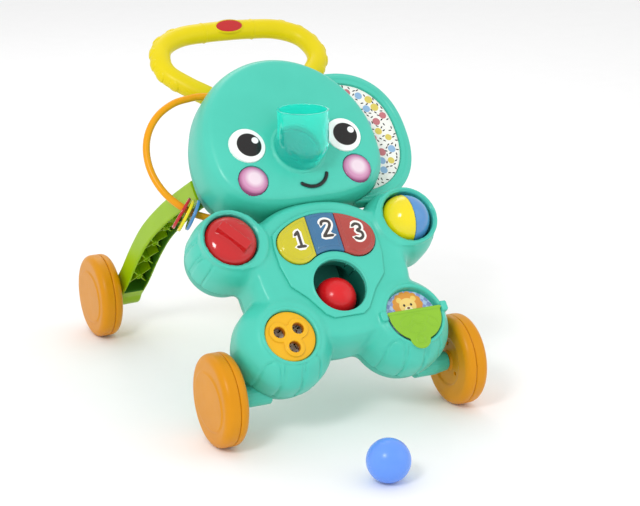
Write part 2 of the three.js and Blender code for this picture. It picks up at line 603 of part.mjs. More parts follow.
function runningGear() {
  for (const [name, side] of Object.entries(SIDES)) {
    wheel(`front_${name}`, side, WHEEL.front, 0);
    wheel(`rear_${name}`, side, WHEEL.rear, WHEEL.rearY);
    const hole = spun([[0, AXLE.inner - 1], [AXLE.r + 0.3, AXLE.inner - 1], [AXLE.r + 0.3, 150], [0, 150]]
      .map(([r, x]) => [r, side * x]), 0, WHEEL.r, 16);
    add(world, `front_bracket_${name}`, bracketForm(side, 0).subtract(hole), '#3fae95');
    add(world, `rear_leg_${name}`, rearLeg(side), GREEN, 0.35);
  }
}

// ---------------------------------------------------------------- play balls
function balls() {
  const sphere = (group, name, at, color) => {
    const geometry = new THREE.SphereGeometry(BALL, 14, 9);
    geometry.translate(...at);
    add(group, name, solid(geometry), color, 0.3);
  };
  sphere(panel, 'red_ball', [0, HOLE.v - 7.1, 7], '#e01a20');
  sphere(world, 'blue_ball', [-30.4, -176.4, BALL], '#5e95f3');
}

head();
ear();
body();
backShell();
insides();
keys();
knob();
roller();
spinner();
peekaboo();
wire();
handle();
runningGear();
balls();

export default walker;
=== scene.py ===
"""Looks for the elephant push walker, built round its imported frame.

Lengths in this file are millimetres until to_row() or upright() turns them into the row frame's metres.
Most pieces lie in the activity panel's own frame: u across, v up the panel, w out of it.
"""

import math

import bpy
import numpy as np
from mathutils import Matrix, Vector


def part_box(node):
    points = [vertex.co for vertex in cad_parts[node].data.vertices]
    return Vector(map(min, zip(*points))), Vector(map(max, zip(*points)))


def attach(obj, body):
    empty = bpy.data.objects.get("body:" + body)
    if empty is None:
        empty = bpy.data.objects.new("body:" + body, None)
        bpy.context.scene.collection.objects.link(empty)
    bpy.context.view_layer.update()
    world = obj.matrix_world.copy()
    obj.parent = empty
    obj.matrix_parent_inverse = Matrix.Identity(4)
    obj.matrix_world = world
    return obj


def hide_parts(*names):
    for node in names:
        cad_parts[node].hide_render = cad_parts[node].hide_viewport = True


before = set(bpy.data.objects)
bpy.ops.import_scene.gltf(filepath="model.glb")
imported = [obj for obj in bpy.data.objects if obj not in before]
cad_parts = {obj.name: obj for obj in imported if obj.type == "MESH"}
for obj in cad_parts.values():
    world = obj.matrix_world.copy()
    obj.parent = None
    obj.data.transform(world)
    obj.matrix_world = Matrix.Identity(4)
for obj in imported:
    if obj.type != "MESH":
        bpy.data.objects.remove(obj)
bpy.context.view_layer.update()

# --- sizes, as the frame has them
LEAN = math.radians(41)
SIN, COS = math.sin(LEAN), math.cos(LEAN)
PANEL_FOOT_Y, PANEL_FOOT_Z = -193.3, 55.0
SPLIT_W = -22.0
WALL = 3.0
HEAD = dict(u=0, v=315, half_u=117, up=126, power_up=2.0, down=79, power_down=3.0)
TORSO = dict(u=0, v=150, half_u=104, up=95, power_up=2.2, down=95, power_down=2.2)
EAR = dict(u=88, v=331, half_u=83.3, up=91, power_up=2.3, down=91, power_down=2.3)
ARM_U, ARM_V, LEG_U, LEG_V = 112, 200, 77, 76
SOCKET_U, SOCKET_V, SOCKET_R = 115.4, 201, 32.6
ROLLER_W, ROLLER_R = 18, 31
SPINNER_U, SPINNER_V = -79.7, 73.5
WINDOW_U, WINDOW_V, WINDOW_R = 80, 75, 34.5
TRUNK_V = 305.2
HOLE_V, HOLE_R = 125.7, 32.8
EYE_U, EYE_V, EYE_R = 63.5, 316, 22
CHEEK_U, CHEEK_V, CHEEK_R = 68.1, 271, 18
KEY_V, KEY_R, KEY_HALF, KEY_SPREAD, KEY_SPLIT = 126, 68.5, 24.5, math.radians(34.1), 18.5
WHEEL_R, WHEEL_THICK, WHEEL_Z = 55, 31, 55
FRONT_WHEEL_X, FRONT_WHEEL_Y = 155.8, -138.7
REAR_WHEEL_X, REAR_WHEEL_Y = 153, 285.2
AXLE_HOLE_R = 4.3
BALL_R = 25.1
EAR_MEAN_R = 85
RING_U, RING_V, RING_W, RING_R = -79.5, 339, -34, 83
LEG_X, LEG_HEAD_X = 117, 134
SHARP_ANGLE = math.radians(48)
MM = 0.001
SIDES = (("left", -1), ("right", 1))


# --- frames
def to_row(points):
    """Panel millimetres to row-frame metres."""
    u, v, w = np.asarray(points, float).T
    y = PANEL_FOOT_Y + v * SIN - w * COS
    z = PANEL_FOOT_Z + v * COS + w * SIN
    return np.stack([u, y, z], 1) * MM


def upright(points):
    """Row-frame millimetres to metres."""
    return np.asarray(points, float) * MM


def on_row(form, finish, u=0, v=0):
    """A panel form moved to (u, v), as one chunk of a piece."""
    points, faces = form
    return to_row(points + (u, v, 0)), faces, finish


# --- fields: negative inside
def soft_union(a, b, k):
    h = np.clip(0.5 + 0.5 * (b - a) / k, 0, 1)
    return b * (1 - h) + a * h - k * h * (1 - h)


def soft_cut(a, b, k):
    """a without b, its new edge eased over k."""
    return -soft_union(-a, b, k)


def slab(flat, w, low, high, ease=0.8):
    """A flat outline's distance made a plate from low to high, with eased edges."""
    across = flat + ease
    along = np.abs(w - (low + high) / 2) - (high - low) / 2 + ease
    outer = np.hypot(np.maximum(across, 0), np.maximum(along, 0))
    return outer + np.minimum(np.maximum(across, along), 0) - ease


def oval(p, form):
    """1 on the outline of a rounded oval whose lower half may differ."""
    x, y = p[:, 0] - form["u"], p[:, 1] - form["v"]
    low = y < 0
    power = np.where(low, form["power_down"], form["power_up"])
    half = np.where(low, form["down"], form["up"])
    shape = np.abs(x / form["half_u"]) ** power + np.abs(y / half) ** power
    return np.maximum(shape, 1e-12) ** (1 / power)


def smooth_line(points, steps=8):
    """A smooth curve through the points."""
    p = np.asarray(points, float)
    p = np.vstack([2 * p[0] - p[1], p, 2 * p[-1] - p[-2]])
    out = []
    for a, b, c, d in zip(p, p[1:], p[2:], p[3:]):
        for t in np.arange(steps) / steps:
            out.append(
                b + 0.5 * t * (c - a + t * (2 * a - 5 * b + 4 * c - d + t * (3 * (b - c) + d - a)))
            )
    return np.array(out + [p[-2]])


def along(p, line):
    """Distance from each point to a line of points, and how far along the line it lies, in mm."""
    best, place, run = np.full(len(p), 1e9), np.zeros(len(p)), 0.0
    for a, b in zip(line, line[1:]):
        d = b - a
        length = math.sqrt(d @ d)
        t = np.clip((p - a) @ d / length**2, 0, 1)
        gap = np.sqrt(((p - a - t[:, None] * d) ** 2).sum(1))
        near = gap < best
        best = np.where(near, gap, best)
        place = np.where(near, run + t * length, place)
        run += length
    return best, place


class Profile:
    """Signed distance to a turned form's edge curve, looked up in a fine table."""

    STEP = 0.6

    def __init__(self, points):
        line = smooth_line(points, 7)
        line = np.vstack([[line[0][0], -90], line])
        self.low = np.array([0.0, -75.0])
        r = np.arange(0, line[:, 0].max() + 45, self.STEP)
        w = np.arange(self.low[1], line[:, 1].max() + 40, self.STEP)
        grid = np.stack(np.meshgrid(r, w, indexing="ij"), -1).reshape(-1, 2)
        best, sign = np.full(len(grid), 1e9), np.ones(len(grid))
        for a, b in zip(line, line[1:]):
            d = b - a
            t = np.clip((grid - a) @ d / (d @ d + 1e-12), 0, 1)
            off = grid - a - t[:, None] * d
            gap = np.hypot(off[:, 0], off[:, 1])
            side = d[0] * (grid[:, 1] - a[1]) - d[1] * (grid[:, 0] - a[0])
            near = gap < best
            best = np.where(near, gap, best)
            sign = np.where(near, np.where(side > 0, -1, 1), sign)
        self.table = (best * sign).reshape(len(r), len(w))

    def __call__(self, r, w):
        x = np.clip(r / self.STEP, 0, self.table.shape[0] - 1.001)
        y = np.clip((w - self.low[1]) / self.STEP, 0, self.table.shape[1] - 1.001)
        i, j = x.astype(int), y.astype(int)
        s, t = x - i, y - j
        k = self.table
        return (k[i, j] * (1 - s) + k[i + 1, j] * s) * (1 - t) + (
            k[i, j + 1] * (1 - s) + k[i + 1, j + 1] * s
        ) * t


def from_axis(p, u, v):
    return np.hypot(p[:, 0] - u, p[:, 1] - v)


HEAD_EDGE = Profile(
    [(117, -22), (116.4, 4), (113.7, 18), (109.4, 27), (100.6, 33), (70.2, 36), (0, 37)]
)
TORSO_EDGE = Profile([(104, -22), (102.4, 8), (96.7, 22.5), (89.4, 27.3), (70, 27.8), (0, 27.8)])
ARM_EDGE = Profile([(46, -22), (46, 2), (43, 18), (38.5, 28.4), (37, 31.4), (20, 31.6), (0, 31.6)])
KNOB_EDGE = Profile([(31.5, -12), (31.5, 22), (30.4, 29.5), (24, 34.8), (14, 37.8), (0, 38.8)])
LEG_EDGE = Profile([(58, -22), (58, 0), (54.5, 12), (48, 22), (39, 31), (25, 32), (0, 32)])


def head_form(p):
    return HEAD_EDGE(oval(p, HEAD) * HEAD["half_u"], p[:, 2])


def torso_and_arms(p):
    body = TORSO_EDGE(oval(p, TORSO) * TORSO["half_u"], p[:, 2])
    for _, side in SIDES:
        body = soft_union(body, ARM_EDGE(from_axis(p, side * ARM_U, ARM_V), p[:, 2]), 13)
    return body


def legs(p):
    return np.minimum(
        *(LEG_EDGE(from_axis(p, side * LEG_U, LEG_V), p[:, 2]) for _, side in SIDES)
    )


# --- meshes from fields
def skin(field, low, high, cell):
    """The closed surface of a field, one quad for each crossed cell edge, settled on the field."""
    low, high = np.array(low, float), np.array(high, float)
    count = np.ceil((high - low) / cell).astype(int) + 1
    axes = [low[k] + cell * np.arange(count[k]) for k in range(3)]
    values = np.empty(count)
    for i, x in enumerate(axes[0]):
        v, w = np.meshgrid(axes[1], axes[2], indexing="ij")
        sheet = np.stack([np.full(v.size, x), v.ravel(), w.ravel()], 1)
        values[i] = field(sheet).reshape(v.shape)
    for k in range(3):
        ends = [slice(None)] * 3
        for end in (0, -1):
            ends[k] = end
            values[tuple(ends)] = np.maximum(values[tuple(ends)], 0.5 * cell)
    inside = values < 0
    corner = [(i, j, k) for i in (0, 1) for j in (0, 1) for k in (0, 1)]
    cells = tuple(count - 1)

    def at(grid, c):
        return grid[tuple(slice(c[k], c[k] + cells[k]) for k in range(3))]

    total = sum(at(inside, c).astype(int) for c in corner)
    used = (total > 0) & (total < 8)
    index = -np.ones(cells, int)
    index[used] = np.arange(used.sum())
    where = np.argwhere(used)
    summed, crossings = np.zeros((len(where), 3)), np.zeros(len(where))
    for a in corner:
        for k in range(3):
            if a[k]:
                continue
            b = tuple(c + (n == k) for n, c in enumerate(a))
            va, vb = at(values, a)[used], at(values, b)[used]
            cross = (va < 0) != (vb < 0)
            t = np.where(cross, va / np.where(cross, va - vb, 1), 0)
            point = np.array(a, float)[None] + np.eye(3)[k][None] * t[:, None]
            summed += point * cross[:, None]
            crossings += cross
    points = low + cell * (where + summed / crossings[:, None])
    quads = []
    for k in range(3):
        i, j = (k + 1) % 3, (k + 2) % 3
        first, second = [slice(None)] * 3, [slice(None)] * 3
        first[k], second[k] = slice(0, -1), slice(1, None)
        for n in (i, j):
            first[n] = second[n] = slice(1, -1)
        a, b = inside[tuple(first)], inside[tuple(second)]
        for out, turn in ((a & ~b, 1), (~a & b, -1)):
            at_edge = np.argwhere(out)
            at_edge[:, i] += 1
            at_edge[:, j] += 1
            ring = []
            for di, dj in ((-1, -1), (0, -1), (0, 0), (-1, 0)):
                c = at_edge.copy()
                c[:, i] += di
                c[:, j] += dj
                ring.append(index[c[:, 0], c[:, 1], c[:, 2]])
            quads.append(np.stack(ring[::turn], 1))
    quads = np.vstack(quads)
    step = 0.02
    for _ in range(3):
        here = field(points)
        slope = np.stack([(field(points + step * e) - here) / step for e in np.eye(3)], 1)
        size = np.maximum((slope**2).sum(1), 0.05)
        move = -(here / size)[:, None] * slope
        reach = np.maximum(np.sqrt((move**2).sum(1)) / (0.3 * cell), 1)
        points = points + move / reach[:, None]
    return points, quads


# --- turned and swept meshes
def rings(loops):
    """Loops of points, each the same length, skinned in turn and closed at both ends."""
    loops = np.asarray(loops, float)
    n, m = loops.shape[:2]
    faces = [
        (i * m + j, i * m + (j + 1) % m, (i + 1) * m + (j + 1) % m, (i + 1) * m + j)
        for i in range(n - 1)
        for j in range(m)
    ]
    points = np.vstack([loops.reshape(-1, 3), loops[0].mean(0), loops[-1].mean(0)])
    for j in range(m):
        faces.append((n * m, (j + 1) % m, j, j))
        faces.append((n * m + 1, (n - 1) * m + j, (n - 1) * m + (j + 1) % m, j))
    faces = [f if k < (n - 1) * m else f[:3] for k, f in enumerate(faces)]
    return points, faces


def turned(edge, segments=64, steps=4):
    """A form turned about +w from (radius, w) points, going up its outside."""
    line = smooth_line(edge, steps) if steps else np.asarray(edge, float)
    angles = np.arange(segments) * 2 * math.pi / segments
    return rings(
        [
            np.stack([max(r, 0.01) * np.cos(angles), max(r, 0.01) * np.sin(angles), 0 * angles + w], 1)
            for r, w in line
        ]
    )


def swept(line, size, segments=20, hint=(0, 0, 1)):
    """A bar of oval section along a line; size(t) gives its two half widths, along and across hint."""
    line = np.asarray(line, float)
    ahead = np.gradient(line, axis=0)
    ahead /= np.linalg.norm(ahead, axis=1)[:, None]
    angles = np.arange(segments) * 2 * math.pi / segments
    loops = []
    for k, (point, way) in enumerate(zip(line, ahead)):
        across = np.cross(way, hint)
        across /= np.linalg.norm(across)
        up = np.cross(across, way)
        wide, deep = size(k / (len(line) - 1))
        loops.append(
            point
            + np.outer(np.cos(angles) * wide, across)
            + np.outer(np.sin(angles) * deep, up)
        )
    return rings(np.array(loops)[:, ::-1])


def round_ends(half, length, other=None):
    """Half widths that close roundly within one half width of each end."""

    def size(t):
        gap = min(t, 1 - t) * length / half
        fall = math.sqrt(max(1 - (1 - min(gap, 1)) ** 2, 0.003))
        return half * fall, (other or half) * fall

    return size


# --- pieces
def mesh_of(name, chunks):
    """One mesh from (points in metres, faces, material) chunks, facing outwards and smooth."""
    mesh = bpy.data.meshes.new(name)
    points, faces, finish, start = [], [], [], 0
    for p, f, look in chunks:
        if look.name not in mesh.materials:
            mesh.materials.append(look)
        slot_number = list(mesh.materials).index(look)
        points.append(np.asarray(p, float))
        faces += [[start + int(i) for i in face] for face in f]
        finish += [slot_number] * len(f)
        start += len(p)
    mesh.from_pydata(np.vstack(points).tolist(), [], faces)
    mesh.polygons.foreach_set("material_index", finish)
    mesh.polygons.foreach_set("use_smooth", [True] * len(faces))
    mesh.validate()
    mesh.set_sharp_from_angle(angle=SHARP_ANGLE)
    mesh.update()
    return mesh


def piece(name, body, nodes, chunks):
    made = bpy.data.objects.new(name, mesh_of(name, chunks))
    bpy.context.scene.collection.objects.link(made)
    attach(made, body)
    if nodes:
        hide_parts(*nodes)
    return made


# --- materials
def linear(colour):
    """sRGB hex to linear RGBA."""
    parts = [int(colour[k : k + 2], 16) / 255 for k in (1, 3, 5)]
    return [c / 12.92 if c <= 0.04045 else ((c + 0.055) / 1.055) ** 2.4 for c in parts] + [1]


def add(tree, kind, inputs=None, **settings):
    made = tree.nodes.new(kind)
    for key, value in settings.items():
        setattr(made, key, value)
    for key, value in (inputs or {}).items():
        socket = made.inputs[key]
        if isinstance(value, bpy.types.NodeSocket):
            tree.links.new(value, socket)
        else:
            socket.default_value = value
    return made


def blend(tree, factor, under, over):
    """over laid on under by factor."""
    made = add(tree, "ShaderNodeMix", {"Factor": factor, "A": under, "B": over}, data_type="RGBA")
    return made.outputs["Result"]


def material(name):
    made = bpy.data.materials.new(name)
    made.use_nodes = True
    made.node_tree.nodes.clear()
    tree = made.node_tree
    shader = add(tree, "ShaderNodeBsdfPrincipled")
    add(tree, "ShaderNodeOutputMaterial", {"Surface": shader.outputs[0]})
    where = add(tree, "ShaderNodeTexCoord").outputs["Object"]
    return made, tree, shader, where


# Pattern sizes in metres: slow colour drift, uneven gloss, and how deep the fine grain stands.
DRIFT, SHINE_PATCH, GRAIN_DEPTH = 0.045, 0.012, 0.0004


def moulded(name, colour, deep, rough=0.32, grain_mm=0.9, grain=0.05, **sockets):
    """Injection-moulded plastic: slow colour drift, a fine spark-eroded grain, and uneven gloss."""
    made, tree, shader, where = material(name)
    drift = add(tree, "ShaderNodeTexNoise", {"Vector": where, "Scale": 1 / DRIFT, "Detail": 2.0})
    tint = blend(tree, drift.outputs[0], linear(deep), linear(colour))
    shine = add(tree, "ShaderNodeTexNoise", {"Vector": where, "Scale": 1 / SHINE_PATCH, "Detail": 4.0})
    spread = {"Value": shine.outputs[0], "To Min": rough - 0.06, "To Max": rough + 0.08}
    gloss = add(tree, "ShaderNodeMapRange", spread)
    fine = add(tree, "ShaderNodeTexNoise", {"Vector": where, "Scale": 1000 / grain_mm, "Detail": 2.0})
    relief = {"Height": fine.outputs[0], "Strength": grain, "Distance": GRAIN_DEPTH}
    bump = add(tree, "ShaderNodeBump", relief)
    links = tree.links
    links.new(tint, shader.inputs["Base Color"])
    links.new(gloss.outputs[0], shader.inputs["Roughness"])
    links.new(bump.outputs[0], shader.inputs["Normal"])
    shader.inputs["IOR"].default_value = 1.5
    shader.inputs["Specular IOR Level"].default_value = 0.4
    for key, value in sockets.items():
        shader.inputs[key.replace("_", " ")].default_value = value
    return made


def vector(tree, operation, a, b=(0, 0, 0)):
    return add(tree, "ShaderNodeVectorMath", {0: a, 1: b}, operation=operation)


def on_panel(tree, where):
    """A point's (u, v) on the panel, in mm, from its Object coordinates."""
    across = vector(tree, "DOT_PRODUCT", where, (1000, 0, 0))
    up = vector(tree, "DOT_PRODUCT", where, (0, 1000 * SIN, 1000 * COS))
    foot = -(PANEL_FOOT_Y * SIN + PANEL_FOOT_Z * COS)
    v = add(tree, "ShaderNodeMath", {0: up.outputs["Value"], 1: foot}, operation="ADD")
    both = add(tree, "ShaderNodeCombineXYZ", {0: across.outputs["Value"], 1: v.outputs[0]})
    return both.outputs[0]


def parts_of(made):
    """A moulded material's tree, shader, place on the panel, and present colour."""
    tree = made.node_tree
    shader = next(n for n in tree.nodes if n.type == "BSDF_PRINCIPLED")
    where = next(n for n in tree.nodes if n.type == "TEX_COORD").outputs["Object"]
    return tree, shader, on_panel(tree, where), shader.inputs["Base Color"].links[0].from_socket


def printed(name, colour, spots, rough=0.3, checks=None, edge=0.35):
    """A printed and varnished film: flat inks with crisp edges, ovals laid over one another.
    Each spot is (u, v, half width, half height, ink). The ball's run uses one soft spot as a painted light
    patch over its painted shade ground."""
    made = moulded(name, colour, colour, rough, grain=0.02)
    tree, shader, spot, ink = parts_of(made)
    if checks:
        size, other, turn = checks
        grid = {"Vector": spot, "Rotation": (0, 0, turn), "Scale": (1 / size,) * 3}
        turned_to = add(tree, "ShaderNodeMapping", grid).outputs[0]
        squares = {"Vector": turned_to, "Color1": linear(other), "Scale": 1.0}
        check = add(tree, "ShaderNodeTexChecker", squares)
        tree.links.new(ink, check.inputs["Color2"])
        ink = check.outputs[0]
    for u, v, wide, high, colour_of in spots:
        shift = vector(tree, "SUBTRACT", spot, (u, v, 0))
        scaled = vector(tree, "MULTIPLY", shift.outputs[0], (1 / wide, 1 / high, 0))
        away = vector(tree, "LENGTH", scaled.outputs[0])
        soft = edge / min(wide, high)
        fade = {"Value": away.outputs["Value"], "From Min": 1 + soft, "From Max": 1 - soft}
        mask = add(tree, "ShaderNodeMapRange", fade)
        ink = blend(tree, mask.outputs[0], ink, linear(colour_of))
    tree.links.new(ink, shader.inputs["Base Color"])
    return made


# A lighter patch of the run round the trunk, where light comes in through the clear tube.
RUN_GLOW = [(0, 330, 62, 92, "#27cfbf")]
# Satin shells: soft broad highlights that drift a little along the forms.
TEAL = moulded("abs_teal_satin_moulded", "#4ccab4", "#43bfa9", 0.36, Coat_Weight=0.12, Coat_Roughness=0.2)
# The back cover: painted shade, a darker and greyer copy of the front teal so that it recedes behind the
# front shells; its gloss is also flatter.
TEAL_BACK_PAINTED_SHADE = moulded("abs_teal_back_painted_shade_moulded", "#45b9a4", "#3daf99", 0.4)
# The ball's run: painted shade, a deep dark green standing in for the shadow inside the openings so they read
# as dark wells, with RUN_GLOW's painted light patch round the trunk.
TEAL_RUN_PAINTED_SHADE = printed("abs_teal_run_painted_shade_moulded", "#0d6656", RUN_GLOW, rough=0.45, edge=14)
# The clear trunk: wet-looking and see-through, with the dark socket showing behind its wall, and a faint
# painted glow: its teal emission brightens it as light passing through the tube would.
CLEAR_TEAL_PAINTED_GLOW = moulded(
    "san_clear_teal_painted_glow_moulded",
    "#5cf0e5",
    "#50ece0",
    0.05,
    grain=0.0,
    Transmission_Weight=0.86,
    IOR=1.3,
    Coat_Weight=0.7,
    # Painted glow: a faint teal emission, though the tube holds no lamp.
    Emission_Color=(0.012, 0.66, 0.55, 1),
    Emission_Strength=0.12,
)
# The handle: a clean lemon with a dull sheen, like plastic that is gripped often.
YELLOW = moulded("pp_yellow_satin_moulded", "#e6d200", "#dcc600", 0.36, Specular_IOR_Level=0.26)
# The wheels: warm amber, with low broad highlights on their rounded rims.
AMBER = moulded("pp_amber_satin_moulded", "#dc9200", "#cf8600", 0.34, Specular_IOR_Level=0.24)
# The wire loop: brighter than the wheels, with a thin highlight along the bar.
ORANGE = moulded("abs_orange_satin_moulded", "#eca200", "#e09600", 0.28, Specular_IOR_Level=0.26)
# The spinner disc: golden top faces.
SPIN = moulded("abs_spinner_orange_moulded", "#efb812", "#e3a50a", 0.33)
# The walls of the finger holes: painted shade, darker so that the three holes read as deep.
SPIN_PAINTED_SHADE = moulded("abs_spinner_painted_shade_moulded", "#c07005", "#a96004", 0.45)
# The legs' open channels: painted shade, a dark green standing in for the shadow behind the lattice.
LIME_PAINTED_SHADE = moulded("pp_lime_channel_painted_shade_moulded", "#3f7a06", "#2f6405", 0.5)
# The legs' outer faces and lattice: fresh lime with a dull sheen.
LIME = moulded("pp_lime_satin_moulded", "#9cc400", "#8cb400", 0.34, Specular_IOR_Level=0.26)
# The peekaboo leaf: softer green than the legs.
FLAP_GREEN = moulded("pp_flap_green_moulded", "#8fc42c", "#82b724", 0.35)
# The knob, badge, switch and a charm: deep red with a sharp window-like highlight.
RED = moulded("abs_red_gloss_moulded", "#c80a10", "#b8050b", 0.12, grain=0.01, Coat_Weight=0.5)
# Half the roller and a charm: clear bright yellow with a sharp highlight.
YELLOW_GLOSS = moulded("abs_yellow_gloss_moulded", "#f2de00", "#e8d200", 0.14, grain=0.01, Coat_Weight=0.4)
# The roller's other half and a charm: sky blue with a sharp highlight.
BLUE_GLOSS = moulded("abs_blue_gloss_moulded", "#5795cf", "#4b88c4", 0.14, grain=0.01, Coat_Weight=0.4)
# The play balls: thin blown skin, a small soft highlight over an even colour.
BALL_RED = moulded("pe_red_ball_blown", "#df1c24", "#cf1219", 0.22, grain=0.03)
BALL_BLUE = moulded("pe_blue_ball_blown", "#6a9cf6", "#5c90ee", 0.24, grain=0.03)
# The mouth and the dark marks: near black, just glossy enough to catch an edge.
INK = moulded("abs_black_gloss_moulded", "#1d1b1a", "#141212", 0.2, grain=0.02)
# The ear's and spinner's label ground and the digits' outline: warm white, not shiny.
WHITE = moulded("vinyl_white_ink_printed", "#f7f5f0", "#f1eee8", 0.4, grain=0.03)
# The digits: soft charcoal.
DIGIT = moulded("vinyl_charcoal_ink_printed", "#4a4440", "#423c38", 0.4, grain=0.03)
# Axles, pins and screws: cool bright metal.
STEEL = moulded("steel_zinc_plated_turned", "#b9bcc0", "#a9adb2", 0.3, Metallic=1.0)
# The hidden circuit board: the usual deep green.
CIRCUIT = moulded("fr4_green_solder_mask_coated", "#1f6b35", "#185a2b", 0.35)
# Cells and speaker: plain dark plastic.
BLACK = moulded("abs_black_satin_moulded", "#26282a", "#1d1f21", 0.45)


# --- repeats, by geometry nodes
def repeat_tree():
    """Copies of one item on points that carry their own turn and size."""
    tree = bpy.data.node_groups.new("Copies on points", "GeometryNodeTree")
    face = tree.interface
    face.new_socket("Geometry", in_out="INPUT", socket_type="NodeSocketGeometry")
    for label, kind in (("Item", "Object"), ("Size", "Float"), ("Finish", "Material")):
        face.new_socket(label, in_out="INPUT", socket_type="NodeSocket" + kind)
    face.new_socket("Geometry", in_out="OUTPUT", socket_type="NodeSocketGeometry")
    given = add(tree, "NodeGroupInput")
    item = add(tree, "GeometryNodeObjectInfo", {"Object": given.outputs["Item"]})
    names = [("Name", "turn"), ("Name", "grow")]
    turn, grow = (
        add(tree, "GeometryNodeInputNamedAttribute", {key: value}, data_type="FLOAT_VECTOR")
        for key, value in names
    )
    facing = add(tree, "FunctionNodeEulerToRotation", {"Euler": turn.outputs["Attribute"]})
    factors = {0: grow.outputs["Attribute"], "Scale": given.outputs["Size"]}
    sized = add(tree, "ShaderNodeVectorMath", factors, operation="SCALE")
    placing = {
        "Points": given.outputs["Geometry"],
        "Instance": item.outputs["Geometry"],
        "Rotation": facing.outputs[0],
        "Scale": sized.outputs[0],
    }
    copies = add(tree, "GeometryNodeInstanceOnPoints", placing)
    real = add(tree, "GeometryNodeRealizeInstances", {"Geometry": copies.outputs[0]})
    dressing = {"Geometry": real.outputs[0], "Material": given.outputs["Finish"]}
    done = add(tree, "GeometryNodeSetMaterial", dressing)
    add(tree, "NodeGroupOutput", {"Geometry": done.outputs[0]})
    return tree


COPIES = repeat_tree()


def repeated(name, body, form, spots, finish):
    """form, in mm, at each (row-frame Matrix in metres, (sx, sy, sz)), made one plain mesh."""
    item_mesh = mesh_of(name + "_item", [(upright(form[0]), form[1], finish)])
    item = bpy.data.objects.new(name + "_item", item_mesh)
    points = bpy.data.meshes.new(name + "_points")
    points.from_pydata([list(place.translation) for place, _ in spots], [], [])
    turn = points.attributes.new("turn", "FLOAT_VECTOR", "POINT")
    turn.data.foreach_set("vector", [c for place, _ in spots for c in place.to_euler()])
    grow = points.attributes.new("grow", "FLOAT_VECTOR", "POINT")
    grow.data.foreach_set("vector", [c for _, scale in spots for c in scale])
    holder = bpy.data.objects.new(name + "_holder", points)
    bpy.context.scene.collection.objects.link(holder)
    modifier = holder.modifiers.new("Copies", "NODES")
    modifier.node_group = COPIES
    sockets = {i.name: i.identifier for i in COPIES.interface.items_tree if i.in_out == "INPUT"}
    modifier[sockets["Item"]] = item
    modifier[sockets["Size"]] = 1.0
    modifier[sockets["Finish"]] = finish
    shown = holder.evaluated_get(bpy.context.evaluated_depsgraph_get())
    mesh = bpy.data.meshes.new_from_object(shown)
    mesh.name = name
    made = bpy.data.objects.new(name, mesh)
    bpy.context.scene.collection.objects.link(made)
    for spare in (holder, item):
        bpy.data.objects.remove(spare)
    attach(made, body)
    return made


PANEL = Matrix(
    (
        (1, 0, 0, 0),
        (0, SIN, -COS, PANEL_FOOT_Y * MM),
        (0, COS, SIN, PANEL_FOOT_Z * MM),
        (0, 0, 0, 1),
    )
)


def on(u, v, w, angle=0.0, tip=0.0):
    """A place on the panel for a repeat, in row-frame metres."""
    local = Matrix.Translation((u * MM, v * MM, w * MM))
    return PANEL @ local @ Matrix.Rotation(angle, 4, "Z") @ Matrix.Rotation(tip, 4, "X")


# --- shells
def petal(p, u, v, angle, long=13.0, wide=10.0):
    """How near a point is to a petal-shaped moulding line, as a groove depth in mm."""
    x, y = p[:, 0] - u, p[:, 1] - v
    out = x * math.cos(angle) + y * math.sin(angle)
    side = -x * math.sin(angle) + y * math.cos(angle)
    shape = np.sqrt((np.minimum(out, 0) / long) ** 2 + (side / wide) ** 2)
    return 1.5 * np.exp(-(((shape - 1) * wide / 1.2) ** 2)) / (1 + np.exp((out - 12) / 1.5))


def head_shell(p):
    w = p[:, 2]
    form = head_form(p)
    for _, side in SIDES:
        form = soft_cut(form, slab(from_axis(p, side * EYE_U, EYE_V) - EYE_R - 0.5, w, 31, 60), 0.8)
        form = soft_cut(form, slab(from_axis(p, side * CHEEK_U, CHEEK_V) - CHEEK_R - 0.6, w, 29, 60), 0.8)
    socket = from_axis(p, 0, TRUNK_V)
    form = np.minimum(form, slab(socket - 34, w, 25, 38.6, 1.6))
    hollow = np.maximum(head_form(p) + 2 * WALL, SPLIT_W - 40 - w)
    form = np.maximum(form, -hollow)
    form = soft_cut(form, np.maximum(socket - 28.6, 0 - w), 0.8)
    return np.maximum(form, SPLIT_W - w)


def body_outside(p):
    """Torso, arms and legs, with the toes and fingers drawn in their rounded sides."""
    limbs = legs(p)
    toes = np.zeros(len(p))
    for u in (-111, -86, -61, 47, 72, 97):
        toes = np.maximum(toes, petal(p, u, 36, -math.pi / 2, 11, 10.5))
    for u in (-99, -74, 60, 84, 110):
        notch = np.exp(-(((p[:, 0] - u) / 1.5) ** 2)) / (1 + np.exp((p[:, 1] - 30) / 1.2))
        toes = np.maximum(toes, 2.2 * notch)
    body = torso_and_arms(p)
    for _, side in SIDES:
        for turn in (-28, 0, 28):
            angle = math.radians(turn) if side > 0 else math.pi - math.radians(turn)
            u = side * ARM_U + 46 * math.cos(angle)
            v = ARM_V + 46 * math.sin(angle)
            body = body + petal(p, u, v, angle, 9, 9.5) * (from_axis(p, side * ARM_U, ARM_V) > 36)
    return soft_union(body, limbs + toes, 5)


# Round recesses: centre, bore, cup (radius, bottom, top), rim (radius, half width, bottom), floor, easing.
RECESSES = (
    (-SOCKET_U, SOCKET_V, SOCKET_R, (35.0, -16.5, 31), (36.2, 1.8, 20), -14.5, 0.9),
    (SOCKET_U, SOCKET_V, SOCKET_R, (35.0, -23.5, 31), (36.2, 1.8, 20), -21.5, 0.9),
    (SPINNER_U, SPINNER_V, 31.5, (34, 9, 31.6), (34.2, 1.9, 22), 12, 0.8),
    (WINDOW_U, WINDOW_V, WINDOW_R, (37.2, 19, 31.6), (37.4, 1.9, 22), 22.5, 0.8),
)


